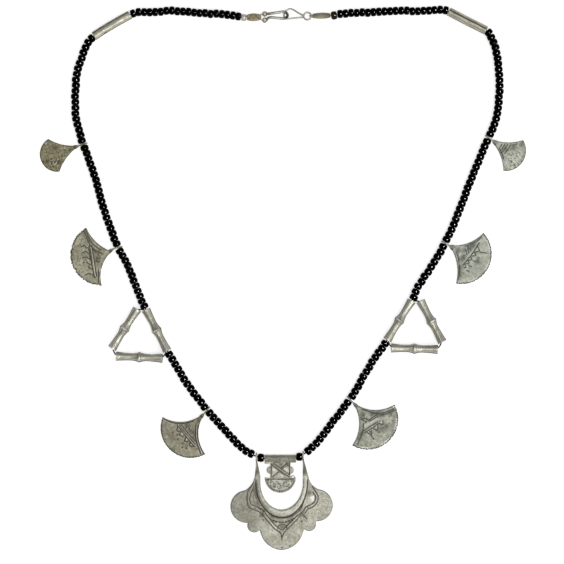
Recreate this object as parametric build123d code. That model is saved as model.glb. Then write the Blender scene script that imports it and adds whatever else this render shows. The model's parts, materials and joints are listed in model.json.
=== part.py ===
from build123d import *
import os
from math import asin, atan2, degrees

# Tribal necklace laid out flat, in millimetres. +Y points to the clasp, +Z up from the surface.
# Black glass beads are strung on thread. Along the loop the thread also runs through two rolled
# spacer tubes, six hammered fans, two triangles of bamboo-shaped tubes, the ears of the main
# pendant and the bail tube of the small centre pendant.

# The loop of thread
loop_width = 212.0
loop_height = 224.0
thread_diameter = 0.8
thread_end_gap = 0.2

# Beads
bead_diameter = 4.2
bead_length = 2.55
bead_flat_diameter = 2.2
bead_least_gap = 0.15
centre_bead_length = 2.7
end_bead_length = 3.0

# Clearances between a bead and what is strung beside it
gap_at_tube = 0.3
gap_at_bamboo = 0.65
gap_at_tab = 0.35
gap_at_cap = 0.3
gap_at_bail = 0.35
gap_in_ear = 0.7
gap_past_ear = 1.3

# Rolled spacer tubes
spacer_length = 21.1
spacer_diameter = 4.5
spacer_wall = 0.4

# Bamboo-shaped tubes, three to a triangle, and the thread that runs round the other two. The
# waist and the start of the swell at the ring are shares of half the length, from the ring.
bamboo_length = 23.3
bamboo_end_diameter = 4.7
bamboo_waist_diameter = 3.8
bamboo_ring_diameter = 5.4
bamboo_ring_width = 0.5
bamboo_waist_place = 0.38
bamboo_swell_place = 0.14
bamboo_bore = 2.4
bamboo_corner_gap = 0.25
side_thread_diameter = 0.35
side_thread_aside = 0.8
side_thread_tail = 1.5
side_thread_clearance = 0.025

# Fans: a sheet whose tab is twisted upright and pierced for the thread
fan_sheet = 0.65
tab_height = 2.4
tab_reach = 2.3
tab_hole = 1.5
neck_start = 2.2
neck_end = 5.2
neck_steps = 3

# Main pendant: one sheet with two twisted ears, a raised rim and five lobes
pendant_width = 51.2
pendant_drop = 47.6
pendant_sheet = 0.8
pendant_offset = 0.9
opening_width = 21.2
opening_drop = 27.2
rim_width = 2.2
rim_foot_width = 3.8
rim_rise = 0.5
ear_sheet = 0.75
ear_height = 2.8
ear_rise = 1.9
ear_hole = 1.9
ear_twist_start = 2.2
ear_twist_end = 10.5
ear_twist_steps = 4
arm_width = 2.8

# Centre pendant: a plaque and half disc soldered under a bail tube
bail_length = 15.8
bail_diameter = 4.15
bail_wall = 0.5
plaque_width = 10.1
plaque_drop = 9.6
plaque_sheet = 0.7
side_lobe_diameter = 3.6
side_lobe_drop = 5.9
half_disc_diameter = 15.6

# Clasp: a doubled-wire hook in a wire eye, each bound to the thread
cap_diameter = 3.4
cap_length = 2.4
cap_hole = 1.3
cap_edge_radius = 0.4
left_knot_length = 7.3
left_knot_diameter = 3.9
right_knot_length = 9.0
right_knot_diameter = 3.3
knot_tail_diameter = 2.0
knot_nose_diameter = 2.2
knot_belly_place = 0.42
knot_loop_thread = 0.4
clasp_clearance = 0.25
hook_wire = 1.0
hook_curl_diameter = 1.9
hook_curl_spread = 3.1
hook_leg_lap = 0.1
hook_neck_width = 1.7
hook_neck_reach = 1.0
hook_mouth_width = 3.7
hook_tip_reach = 1.7
hook_over_eye = 0.4
hook_height_over_eye = 0.45
hook_tip_clearance = 0.05
hook_aside = 0.7
eye_wire = 0.75
eye_length = 10.0
eye_width = 5.1
eye_ring_diameter = 3.7
eye_level = -0.8
eye_join_level = -0.42
eye_coil_step = 0.525

# The few chosen points that the thread runs through, from the left knot round to the right one.
# They are drawn for a loop as wide and high as this, and follow loop_width and loop_height:
# across from the middle of the loop, up from the bail tube.
drawn_loop_width = 212.0
drawn_loop_height = 224.0
route = {
    "left_back": [(-20.2, 220.5), (-27.5, 221.5), (-35.8, 222.3), (-43.5, 222.7),
                  (-58.5, 223.8), (-68.5, 223.2), (-78.4, 221.9)],
    "left_side": [(-96.6, 211.1), (-99.0, 209.0), (-101.6, 203.3), (-104.1, 196.7),
                  (-105.7, 186.7), (-106.0, 176.7), (-104.8, 166.7), (-102.0, 157.4),
                  (-98.1, 146.8), (-94.2, 134.1), (-89.8, 119.1), (-84.3, 105.4),
                  (-78.9, 94.4), (-74.4, 83.2), (-70.6, 74.5)],
    "left_front": [(-59.9, 53.8), (-57.9, 50.4), (-54.5, 44.5), (-49.2, 36.2),
                   (-40.1, 24.4), (-34.1, 17.6), (-28.1, 11.0), (-21.6, 4.5),
                   (-17.7, 2.1), (-15.0, 1.0), (-13.1, 0.4), (-11.4, 0.0)],
    "right_front": [(4.5, 0.0), (6.2, 0.8), (8.2, 2.2), (10.9, 4.1), (13.7, 6.7),
                    (16.8, 10.4), (22.9, 18.5), (31.6, 29.9), (36.4, 37.8),
                    (43.9, 50.3), (50.1, 59.4)],
    "right_side": [(62.1, 78.7), (64.7, 84.4), (69.0, 91.3), (78.9, 107.7),
                   (86.1, 124.4), (93.0, 142.1), (100.8, 160.7), (104.9, 171.7),
                   (106.0, 181.7), (106.0, 191.7), (104.9, 202.1), (102.3, 210.2),
                   (99.5, 214.0)],
    "right_back": [(80.7, 223.6), (71.6, 224.0), (56.6, 223.8), (41.6, 223.0),
                   (29.1, 222.5), (23.1, 221.6), (21.6, 221.5)],
}

# The fans. place is the share of its run's length at which a fan is strung, aim the direction
# that it points in, in degrees. reach and corner_reach are from the thread, clasp_half and
# pendant_half the half widths towards the clasp and the pendant, neck_half the half width of the
# neck and neck_aside how far it bends towards the pendant, in millimetres. fullness is the share
# of the half width that a hollow side has reached at side_middle of corner_reach.
side_middle = 0.78
fan_columns = ("run", "place", "aim", "reach", "corner_reach", "clasp_half", "pendant_half",
               "neck_half", "neck_aside", "fullness")
fans = {
    "fan_left_1": ("left_side", 0.391, -161.5, 22.9, 15.9, 8.2, 9.1, 1.0, 0.0, 0.59),
    "fan_left_2": ("left_side", 0.766, -165.0, 25.1, 13.9, 13.5, 16.1, 0.9, 1.0, 0.41),
    "fan_left_3": ("left_front", 0.482, -131.0, 28.3, 18.2, 14.8, 13.2, 0.9, 0.0, 0.44),
    "fan_right_3": ("right_front", 0.534, -46.0, 28.2, 17.1, 13.7, 14.8, 0.9, 0.0, 0.45),
    "fan_right_2": ("right_side", 0.229, -28.5, 24.5, 14.0, 13.4, 14.9, 1.5, 0.0, 0.51),
    "fan_right_1": ("right_side", 0.618, -32.5, 21.4, 14.2, 8.2, 9.5, 1.4, 0.2, 0.60),
}

# One half of the main pendant's outline, as shares of half its width and of its drop
outline_across = {"shoulder": 0.575, "hip": 0.715, "side_lobe": 1.0, "notch": 0.66,
                  "small_lobe": 0.64, "inner_notch": 0.44, "centre_lobe": 0.315}
outline_down = {"shoulder": 0.27, "hip": 0.345, "side_lobe": 0.52, "notch": 0.695,
                "small_lobe": 0.775, "inner_notch": 0.775, "centre_lobe": 0.905}

bead_radius = bead_diameter / 2
bamboo_height = max(bamboo_ring_diameter / 2, bead_radius)
solids = {}


# The thread's path: a smooth curve through each run's points, joined by the straight tubes.
# Each curve ends along the line to the next one, and the clasp closes the round.
def route_point(across, up):
    return Vector(across * loop_width / drawn_loop_width, up * loop_height / drawn_loop_height)


runs = list(route)
spots = {run: [route_point(*point) for point in points] for run, points in route.items()}
edges = []
run_start = {}
run_end = {}
path_length = 0.0
for i, run in enumerate(runs):
    before = spots[runs[i - 1]][-1]
    after = spots[runs[(i + 1) % len(runs)]][0]
    tangents = [spots[run][0] - before, after - spots[run][-1]]
    curve = Spline(*spots[run], tangents=tangents, tangent_scalars=[1, 1])
    if edges:
        edges.append(Line(before, spots[run][0]))
        path_length += edges[-1].length
    edges.append(curve)
    run_start[run] = path_length
    path_length += curve.length
    run_end[run] = path_length
path = Wire([edge.edge() for edge in edges])


def on_path(distance):
    """The point of the thread at this distance from the left knot, at the thread's height."""
    return path.position_at(distance, PositionMode.LENGTH) + Vector(0, 0, bead_radius)


def turn_of(direction):
    return degrees(atan2(direction.Y, direction.X))


def laid(shape, point, direction):
    """A shape made along X, laid at a point so that it runs in a flat direction."""
    return shape.moved(Location(tuple(point), (0, 0, turn_of(direction))))


def strung(shape, distance):
    heading = path.tangent_at(distance, PositionMode.LENGTH)
    return laid(shape, on_path(distance), heading)


def chord(centre, length):
    """The middle and the direction of a straight piece that the thread runs through."""
    start = on_path(centre - length / 2)
    end = on_path(centre + length / 2)
    return (start + end) / 2, (end - start).normalized()


def rod(start, end, diameter):
    return Solid.make_cylinder(diameter / 2, (end - start).length, Plane(start, z_dir=end - start))


def bent_wire(points, diameter):
    """A round wire through the points, with a ball at each bend."""
    bends = [Vector(*point) for point in points]
    wire = rod(bends[0], bends[1], diameter)
    for start, end in zip(bends[1:], bends[2:]):
        wire = wire + Pos(*start) * Sphere(diameter / 2) + rod(start, end, diameter)
    return wire


def turned(*lines):
    """A solid turned about X from a profile whose first and last points are on the axis."""
    outline = Curve() + list(lines)
    profile = make_face(outline + Line(outline @ 1, outline @ 0))
    return revolve(profile, Axis.X)


def tube(length, diameter, bore):
    return revolve(make_face(Polyline((-length / 2, bore / 2), (length / 2, bore / 2),
                                      (length / 2, diameter / 2), (-length / 2, diameter / 2),
                                      close=True)), Axis.X)


def bead(length):
    """A glass rondelle with flat ends and a full round edge."""
    flat = bead_flat_diameter / 2
    return turned(Line((-length / 2, 0), (-length / 2, flat)),
                  ThreePointArc((-length / 2, flat), (0, bead_radius), (length / 2, flat)),
                  Line((length / 2, flat), (length / 2, 0)))


def strand(centres, length, thread_start, thread_end, squared_to=None):
    """Beads with the thread that runs through them from one distance to the other. Beads that
    are held between two faces lie square to those, the others square to their own stretch of
    thread."""
    beads = []
    for centre in centres:
        heading = squared_to or chord(centre, length)[1]
        beads.append(laid(bead(length), on_path(centre), heading))
    knots = [on_path(distance) for distance in [thread_start] + centres + [thread_end]]
    thread = [rod(start, end, thread_diameter) for start, end in zip(knots, knots[1:])]
    return beads[0].fuse(*beads[1:], *thread)


def bead_centres(start, end, length):
    """As many beads as fit between two distances, spread evenly."""
    rounding = 1e-6
    count = int((end - start - length) / (length + bead_least_gap) + rounding) + 1
    if count == 1:
        return [(start + end) / 2]
    pitch = (end - start - length) / (count - 1)
    return [start + length / 2 + i * pitch for i in range(count)]


# Rolled spacer tubes between the back and the sides
def middle(before, after):
    return (run_end[before] + run_start[after]) / 2


spacer_at = {"left": middle("left_back", "left_side"), "right": middle("right_side", "right_back")}
for side, centre in spacer_at.items():
    spacer = tube(spacer_length, spacer_diameter, spacer_diameter - 2 * spacer_wall)
    place, heading = chord(centre, spacer_length)
    place = Vector(place.X, place.Y, max(spacer_diameter / 2, bead_radius))
    solids[f"spacer_tube_{side}"] = laid(spacer, place, heading)


# Triangles of three bamboo-shaped tubes, one of them on the loop's thread
def bamboo_tube():
    half = bamboo_length / 2
    end = bamboo_end_diameter / 2
    waist = bamboo_waist_diameter / 2
    ring = bamboo_ring_diameter / 2
    crest = bamboo_ring_width / 2
    waist_at = bamboo_waist_place * half
    hollow = (-(half + waist_at) / 2, (end + 2 * waist) / 3)
    swell = (-bamboo_swell_place * half, (2 * waist + ring) / 3)
    side = [ThreePointArc((-half, end), hollow, (-waist_at, waist)),
            ThreePointArc((-waist_at, waist), swell, (-crest, ring)),
            Line((-crest, ring), (crest, ring))]
    other_side = [mirror(line, Plane.YZ) for line in side[:2]]
    bore = bamboo_bore / 2
    ends = [Line((-half, end), (-half, bore)), Line((-half, bore), (half, bore)),
            Line((half, bore), (half, end))]
    return revolve(make_face(side + other_side + ends), Axis.X)


def triangle(side, centre):
    """Three tubes outside an equal-sided triangle, and the thread that closes it."""
    place, heading = chord(centre, bamboo_length)
    place = Vector(place.X, place.Y, bamboo_height)
    outward = heading.rotate(Axis.Z, -90)
    edge = bamboo_length + 2 * bamboo_corner_gap
    offset = bamboo_end_diameter / 2
    first = place + outward * offset - heading * (edge / 2)
    last = first + heading * edge
    apex = (first + last) / 2 + outward * (edge * 3 ** 0.5 / 2)
    middle_of_all = (first + last + apex) / 3
    beyond = bamboo_length / 2 + side_thread_diameter / 2 + side_thread_clearance
    thread = []
    for role, start, end in (("strand", first, last), ("outer", first, apex), ("bottom", apex, last)):
        along = (end - start).normalized()
        inward = (middle_of_all - (start + end) / 2).normalized()
        tube_middle = (start + end) / 2 - inward * offset
        solids[f"bamboo_tube_{side}_{role}"] = laid(bamboo_tube(), tube_middle, along)
        inner_line = tube_middle + inward * side_thread_aside
        mouths = [inner_line - along * beyond, inner_line + along * beyond]
        if role == "strand":
            top = [mouths[0] + along * side_thread_tail, mouths[0]]
            foot = [mouths[1], mouths[1] - along * side_thread_tail]
        else:
            thread += mouths
    solids[f"triangle_thread_{side}"] = bent_wire(top + thread + foot, side_thread_diameter)


bamboo_at = {"left": middle("left_side", "left_front"), "right": middle("right_front", "right_side")}
for side, centre in bamboo_at.items():
    triangle(side, centre)


# Fans
def twist(sizes):
    """A sheet strip twisted along X. Each row gives x, y, width, thickness and turn."""
    sections = []
    for x, y, width, thickness, turn in sizes:
        across = Vector(0, 1, 0).rotate(Axis.X, turn)
        sections.append(Plane((x, y, 0), x_dir=across, z_dir=(1, 0, 0)) * Rectangle(width, thickness))
    return loft(sections, ruled=True)


def upright_tab(reach, back, height, sheet, hole):
    """A round-ended tab in the XZ plane from x = -reach to back, pierced at the origin."""
    radius = height / 2
    outline = Plane.XZ * (Pos((back + radius - reach) / 2, 0) * Rectangle(back + reach - radius, height)
                          + Pos(radius - reach, 0) * Circle(radius))
    outline -= Plane.XZ * Circle(hole / 2)
    return extrude(outline, sheet / 2, both=True)


def fan(cells, side):
    clasp_side = 1 if side == "right" else -1
    neck_half = cells["neck_half"]
    neck_y = -clasp_side * cells["neck_aside"]
    outline = Curve()
    corners = []
    for half, sign in ((cells["clasp_half"], clasp_side), (cells["pendant_half"], -clasp_side)):
        hollow = (side_middle * cells["corner_reach"], sign * cells["fullness"] * half)
        corner = (cells["corner_reach"], sign * half)
        outline += ThreePointArc((neck_end, neck_y + sign * neck_half), hollow, corner)
        corners.append(corner)
    top = (cells["reach"], (corners[0][1] + corners[1][1]) / 2)
    outline += ThreePointArc(corners[0], top, corners[1])
    outline += Line((neck_end, neck_y - neck_half), (neck_end, neck_y + neck_half))
    blade = extrude(make_face(outline), fan_sheet / 2, both=True)
    twists = []
    for i in range(neck_steps + 1):
        share = i / neck_steps
        width = tab_height + (2 * neck_half - tab_height) * share
        twists.append((neck_start + (neck_end - neck_start) * share, neck_y * share, width,
                       fan_sheet, 90 * (1 - share)))
    piece = blade + twist(twists)
    piece += upright_tab(tab_reach, neck_start, tab_height, fan_sheet, tab_hole)
    slope = degrees(asin((bead_radius - fan_sheet / 2) / cells["reach"]))
    return piece.rotate(Axis.Y, slope)


fan_at = {}
for name, row in fans.items():
    cells = dict(zip(fan_columns, row))
    run = cells["run"]
    fan_at[name] = run_start[run] + cells["place"] * (run_end[run] - run_start[run])
    shape = fan(cells, name.split("_")[1])
    solids[name] = shape.moved(Location(tuple(on_path(fan_at[name])), (0, 0, cells["aim"])))


# Centre pendant
bail_at = middle("left_front", "right_front")
bail_middle, bail_heading = chord(bail_at, bail_length)


def centre_pendant():
    disc_radius = half_disc_diameter / 2
    drop = plaque_drop + disc_radius
    plan = Pos(0, -plaque_drop / 2) * Rectangle(plaque_width, plaque_drop)
    for sign in (-1, 1):
        plan += Pos(sign * plaque_width / 2, -side_lobe_drop) * Circle(side_lobe_diameter / 2)
    below = Pos(0, -plaque_drop - disc_radius / 2) * Rectangle(half_disc_diameter, disc_radius)
    plan += (Pos(0, -plaque_drop) * Circle(disc_radius)) & below
    plaque = extrude(plan, plaque_sheet / 2, both=True)
    slope = degrees(asin((bead_radius - plaque_sheet / 2) / drop))
    plaque = plaque.rotate(Axis.X, slope)
    bore = bail_diameter - 2 * bail_wall
    whole = plaque + tube(bail_length, bail_diameter, bore)
    return whole - Plane.YZ * Cylinder(bore / 2, 2 * bail_length)


solids["centre_pendant"] = laid(centre_pendant(), bail_middle, bail_heading)

# Main pendant
ear_step = gap_at_bail + centre_bead_length + gap_in_ear + ear_sheet / 2
ear_at = {"left": bail_at - bail_length / 2 - ear_step, "right": bail_at + bail_length / 2 + ear_step}
ears = {side: on_path(distance) for side, distance in ear_at.items()}
between_ears = (ears["left"] + ears["right"]) / 2


def pendant_point(name, sign):
    return sign * outline_across[name] * pendant_width / 2, -outline_down[name] * pendant_drop


def pendant_plate():
    inner = opening_width / 2
    arm_top = -ear_twist_end
    outline = Curve()
    for sign in (-1, 1):
        shoulder, hip, side_lobe, notch, small_lobe, inner_notch, centre_lobe = [
            pendant_point(name, sign) for name in outline_across]
        outer_arm = (sign * (inner + arm_width), arm_top)
        outline += Spline(outer_arm, shoulder, hip)
        outline += ThreePointArc(hip, side_lobe, notch)
        outline += ThreePointArc(notch, small_lobe, inner_notch)
        outline += Spline(inner_notch, centre_lobe, (0, -pendant_drop),
                          tangents=[(-0.3 * sign, -1), (-sign, -0.25)])
    outline += Line((-inner - arm_width, arm_top), (inner + arm_width, arm_top))
    opening_depth = opening_drop / 2
    opening = Ellipse(inner, opening_depth)
    bowl = Ellipse(inner + rim_width, opening_depth + rim_foot_width) - opening
    below = Pos(0, -opening_depth / 2 - rim_foot_width) * Rectangle(
        pendant_width, opening_depth + 2 * rim_foot_width)
    above = Pos(0, opening_depth / 2) * Rectangle(opening_width, opening_depth)
    to_opening = Pos(0, -opening_depth)
    plan = make_face(outline) - to_opening * (opening + above)
    plate = extrude(plan, pendant_sheet / 2, both=True)
    return plate + extrude(to_opening * (bowl & below), pendant_sheet / 2 + rim_rise)


def pendant_ear(place, sign):
    """A pierced ear that twists flat into its arm."""
    arm_middle = sign * (opening_width + arm_width) / 2 + pendant_offset
    tab = upright_tab(ear_rise, ear_twist_start, ear_height, ear_sheet, ear_hole).moved(
        Location(tuple(place), (0, 0, -90)))
    twists = []
    arm_end = place.Y + ear_twist_end
    for i in range(ear_twist_steps + 1):
        share = i / ear_twist_steps
        down = ear_twist_start + (arm_end - ear_twist_start) * share
        aside = (arm_middle - place.X) * share
        thickness = ear_sheet + (pendant_sheet - ear_sheet) * share
        twists.append((down, aside, arm_width, thickness, 90 * (1 - share ** 2)))
    arm = twist(twists).moved(Location(tuple(place), (0, 0, -90)))
    return tab + arm


def main_pendant():
    plate = Pos(pendant_offset, 0, 0) * pendant_plate()
    for side, sign in (("left", -1), ("right", 1)):
        plate += pendant_ear(ears[side] - between_ears, sign)
    slope = degrees(asin((bead_radius - pendant_sheet / 2) / pendant_drop))
    return plate.rotate(Axis.X, slope)


solids["main_pendant"] = main_pendant().moved(Location(tuple(between_ears)))

# Clasp, in a frame that runs from the left knot to the right one
clasp_start = on_path(0)
clasp_end = on_path(path_length)
clasp_span = (clasp_end - clasp_start).length


def in_clasp(name, shape):
    solids[name] = laid(shape, clasp_start, clasp_end - clasp_start)


cap_profile = Pos(0, (cap_diameter + cap_hole) / 4) * RectangleRounded(
    cap_length, (cap_diameter - cap_hole) / 2, cap_edge_radius)
cap_at = gap_at_cap + cap_length / 2
solids["cap_ring_left"] = strung(revolve(cap_profile, Axis.X), cap_at)


def knot(length, diameter, tail, nose):
    """A binding of thread: a spindle from tail to nose."""
    return turned(Line((0, 0), (0, tail / 2)),
                  Spline((0, tail / 2), (knot_belly_place * length, diameter / 2), (length, nose / 2)),
                  Line((length, nose / 2), (length, 0)))


def thread_loop(x, y, radius):
    return Plane((x, y, 0), z_dir=(0, 1, 0)) * Torus(radius, knot_loop_thread / 2)


curl_radius = hook_curl_diameter / 2
curl_x = left_knot_length + clasp_clearance + hook_wire / 2 + curl_radius
curl_y = hook_curl_spread / 2
hook_loop = hook_wire / 2 + clasp_clearance + knot_loop_thread / 2
left_nose = hook_curl_spread + knot_loop_thread
left_knot = knot(left_knot_length, left_knot_diameter, cap_diameter, left_nose)
for sign in (-1, 1):
    left_knot += thread_loop(curl_x - curl_radius, sign * curl_y, hook_loop)
in_clasp("knot_left", left_knot)

ring_radius = eye_ring_diameter / 2
right_nose_x = clasp_span - right_knot_length
ring_x = right_nose_x - clasp_clearance - eye_wire / 2 - ring_radius
ring_loop = (eye_wire + eye_coil_step) / 2 + clasp_clearance + knot_loop_thread / 2
right_knot = knot(right_knot_length, right_knot_diameter, knot_tail_diameter, knot_nose_diameter)
right_knot = right_knot.rotate(Axis.Z, 180).moved(Location((clasp_span, 0, 0)))
right_knot += thread_loop(ring_x + ring_radius, 0, ring_loop)
in_clasp("knot_right", right_knot)

# The eye is one wire: a ring wound twice at the right knot, opening into a teardrop.
# around is the share of the teardrop's length from its tip, aside of half the eye's width.
ring_side = ring_x - ring_radius
eye_tip = ring_side - eye_length
teardrop_bends = [
    # around, aside
    (0.86, 0.45), (0.72, 0.72), (0.54, 1.28), (0.34, 1.60), (0.20, 1.42), (0.06, 0.95),
    (0.00, 0.27), (0.05, -0.37), (0.23, -0.42), (0.54, -0.28), (0.86, -0.20),
]
teardrop = [(eye_tip + around * eye_length, aside * eye_width / 2, eye_level)
            for around, aside in teardrop_bends]
ring_joins = [(ring_side, 0.1, eye_join_level), (ring_side + 0.2, -0.5, eye_join_level)]
eye = bent_wire(ring_joins[:1] + teardrop + ring_joins[1:], eye_wire)
for level in (-1, 1):
    eye += Pos(ring_x, 0, level * eye_coil_step / 2) * Torus(ring_radius, eye_wire / 2)
in_clasp("clasp_eye", eye)

# The hook is one doubled wire: two curls, two legs, and a closed end bent down inside the eye.
# Its legs keep to one side of the middle, as the eye's opening does.
leg_level = eye_level + (eye_wire + hook_wire) / 2 + hook_height_over_eye
mouth_x = eye_tip + hook_over_eye
tip_level = hook_wire / 2 - bead_radius + hook_tip_clearance
closed_end = [
    # share of the end's reach, share of the mouth's half width, drop
    (0.0, 1.0, 0.0), (0.5, 0.7, 0.3), (0.85, 0.35, 1.0),
]
curl_end = curl_x + curl_radius
hook_bends = [(curl_end + hook_neck_reach, hook_neck_width / 2, leg_level)]
hook_bends += [(mouth_x + reach * hook_tip_reach, aside * hook_mouth_width / 2, leg_level - drop)
               for reach, aside, drop in closed_end]
leg_start = curl_end - hook_leg_lap
upper_leg = [(leg_start, curl_y, hook_leg_lap)]
upper_leg += [(x, hook_aside + y, z) for x, y, z in hook_bends]
lower_leg = [(leg_start, -curl_y, hook_leg_lap)]
lower_leg += [(x, hook_aside - y, z) for x, y, z in hook_bends]
hook_tip = (mouth_x + hook_tip_reach, hook_aside, tip_level)
hook = bent_wire(upper_leg + [hook_tip] + lower_leg[::-1], hook_wire)
for sign in (-1, 1):
    hook += Pos(curl_x, sign * curl_y, 0) * Torus(curl_radius, hook_wire / 2)
in_clasp("clasp_hook", hook)

# Beads between the pieces on the thread, each strand with its stretch of thread
# Each stop is a piece that the beads run up to: its centre, its half length, and the clearance
# before and after it.
end_bead_at = path_length - gap_at_cap - end_bead_length / 2
stops = [(cap_at, cap_length / 2, 0, gap_at_tube)]
for side in ("left", "right"):
    stops.append((spacer_at[side], spacer_length / 2, gap_at_tube, gap_at_tube))
    stops.append((bamboo_at[side], bamboo_length / 2, gap_at_bamboo, gap_at_bamboo))
for distance in fan_at.values():
    stops.append((distance, fan_sheet / 2, gap_at_tab, gap_at_tab))
stops.append((bail_at, bail_length / 2, gap_at_bail, gap_at_bail))
stops.append((ear_at["left"], ear_sheet / 2, gap_past_ear, gap_in_ear))
stops.append((ear_at["right"], ear_sheet / 2, gap_in_ear, gap_past_ear))
stops.append((end_bead_at, end_bead_length / 2, gap_at_cap, 0))
stops.sort()
strand_names = [f"beads_left_{i}" for i in range(1, 7)] + ["bead_centre_left", "bead_centre_right"]
strand_names += [f"beads_right_{i}" for i in range(6, 0, -1)]
half_break = thread_end_gap / 2
for name, before, after in zip(strand_names, stops, stops[1:]):
    in_centre = "centre" in name
    length = centre_bead_length if in_centre else bead_length
    start = before[0] + before[1] + before[3]
    end = after[0] - after[1] - after[2]
    thread_start = thread_end_gap if name == "beads_left_1" else before[0] + half_break
    thread_end = end if name == "beads_right_1" else after[0] - half_break
    solids[name] = strand(bead_centres(start, end, length), length, thread_start, thread_end,
                          bail_heading if in_centre else None)
end_bead_start = end_bead_at - end_bead_length / 2 - half_break
solids["bead_end_right"] = strand([end_bead_at], end_bead_length, end_bead_start,
                                  path_length - thread_end_gap)

# The origin is the middle of the laid necklace, on the surface
box = Compound(list(solids.values())).bounding_box()
to_origin = Location((-(box.min.X + box.max.X) / 2, -(box.min.Y + box.max.Y) / 2, -box.min.Z))
os.makedirs("parts", exist_ok=True)
for name, solid in solids.items():
    export_step(solid.moved(to_origin), f"parts/{name}.step")
size = box.size
print(f"{len(solids)} pieces, {size.X:.1f} by {size.Y:.1f} by {size.Z:.1f} mm")
print(f"thread {path_length:.1f} mm")
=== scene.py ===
import json
import math

import bpy
import numpy as np
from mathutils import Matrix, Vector

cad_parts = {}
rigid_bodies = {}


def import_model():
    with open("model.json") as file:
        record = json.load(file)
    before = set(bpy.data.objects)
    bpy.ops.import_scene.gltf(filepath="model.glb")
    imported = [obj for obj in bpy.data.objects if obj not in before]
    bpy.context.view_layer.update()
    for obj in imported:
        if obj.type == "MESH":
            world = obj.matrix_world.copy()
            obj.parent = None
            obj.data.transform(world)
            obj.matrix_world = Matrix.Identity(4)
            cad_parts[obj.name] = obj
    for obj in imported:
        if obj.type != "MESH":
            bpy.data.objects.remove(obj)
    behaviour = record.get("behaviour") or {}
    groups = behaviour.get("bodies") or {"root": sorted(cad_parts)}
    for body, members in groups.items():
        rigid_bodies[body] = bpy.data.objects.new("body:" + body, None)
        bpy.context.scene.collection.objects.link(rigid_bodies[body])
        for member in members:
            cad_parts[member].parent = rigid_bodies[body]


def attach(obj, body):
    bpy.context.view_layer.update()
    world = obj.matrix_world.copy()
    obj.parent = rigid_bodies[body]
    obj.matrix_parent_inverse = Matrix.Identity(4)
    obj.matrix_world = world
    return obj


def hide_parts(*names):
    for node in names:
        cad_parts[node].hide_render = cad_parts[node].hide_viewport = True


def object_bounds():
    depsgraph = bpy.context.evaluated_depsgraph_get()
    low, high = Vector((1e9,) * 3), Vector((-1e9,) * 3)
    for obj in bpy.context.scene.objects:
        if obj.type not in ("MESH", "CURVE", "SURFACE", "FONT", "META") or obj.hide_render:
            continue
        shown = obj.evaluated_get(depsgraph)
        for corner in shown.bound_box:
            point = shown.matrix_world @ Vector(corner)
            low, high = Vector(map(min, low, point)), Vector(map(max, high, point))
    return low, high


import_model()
cad_low, cad_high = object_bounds()

# The thread: waxed black cord that runs through every bead, tube and pierced tab and is tied off
# at the clasp. It lies on the table as it was laid out, as smooth runs through the points below,
# in millimetres across and up from the centre pendant's tube. The straight tubes join the runs.
thread_runs = {
    "left_back": [(-20.2, 220.5), (-27.5, 221.5), (-35.8, 222.3), (-43.5, 222.7),
                  (-58.5, 223.8), (-68.5, 223.2), (-78.4, 221.9)],
    "left_side": [(-96.6, 211.1), (-99.0, 209.0), (-101.6, 203.3), (-104.1, 196.7),
                  (-105.7, 186.7), (-106.0, 176.7), (-104.8, 166.7), (-102.0, 157.4),
                  (-98.1, 146.8), (-94.2, 134.1), (-89.8, 119.1), (-84.3, 105.4),
                  (-78.9, 94.4), (-74.4, 83.2), (-70.6, 74.5)],
    "left_front": [(-59.9, 53.8), (-57.9, 50.4), (-54.5, 44.5), (-49.2, 36.2),
                   (-40.1, 24.4), (-34.1, 17.6), (-28.1, 11.0), (-21.6, 4.5),
                   (-17.7, 2.1), (-15.0, 1.0), (-13.1, 0.4), (-11.4, 0.0)],
    "right_front": [(4.5, 0.0), (6.2, 0.8), (8.2, 2.2), (10.9, 4.1), (13.7, 6.7),
                    (16.8, 10.4), (22.9, 18.5), (31.6, 29.9), (36.4, 37.8),
                    (43.9, 50.3), (50.1, 59.4)],
    "right_side": [(62.1, 78.7), (64.7, 84.4), (69.0, 91.3), (78.9, 107.7),
                   (86.1, 124.4), (93.0, 142.1), (100.8, 160.7), (104.9, 171.7),
                   (106.0, 181.7), (106.0, 191.7), (104.9, 202.1), (102.3, 210.2),
                   (99.5, 214.0)],
    "right_back": [(80.7, 223.6), (71.6, 224.0), (56.6, 223.8), (41.6, 223.0),
                   (29.1, 222.5), (23.1, 221.6), (21.6, 221.5)],
}
centre_tube_at = np.array([2.07485, -90.2653])
thread_level = 2.1
thread_radius = 0.376
thread_step = 0.9
thread_tuck = 0.1


def unit(vector):
    return np.asarray(vector, float) / np.linalg.norm(vector)


def smooth_run(points, start_heading, end_heading, step=0.1):
    """A springy line through points that leaves the first and meets the last in given headings."""
    chords = np.linalg.norm(np.diff(points, axis=0), axis=1)
    springs = np.eye(len(points))
    pulls = np.array([start_heading] + [(0, 0)] * (len(points) - 2) + [end_heading], float)
    for i in range(1, len(points) - 1):
        before, after = chords[i - 1], chords[i]
        springs[i, i - 1:i + 2] = 1 / before, 2 / before + 2 / after, 1 / after
        pulls[i] = 3 * ((points[i] - points[i - 1]) / before ** 2
                        + (points[i + 1] - points[i]) / after ** 2)
    slopes = np.linalg.solve(springs, pulls)
    line = []
    for i, chord in enumerate(chords):
        t = np.arange(0, 1, step / chord)[:, None]
        line.append(points[i] * (1 + 2 * t) * (1 - t) ** 2 + points[i + 1] * t * t * (3 - 2 * t)
                    + chord * (slopes[i] * t * (1 - t) ** 2 - slopes[i + 1] * t * t * (1 - t)))
    return np.concatenate(line + [points[-1:]])


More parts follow.
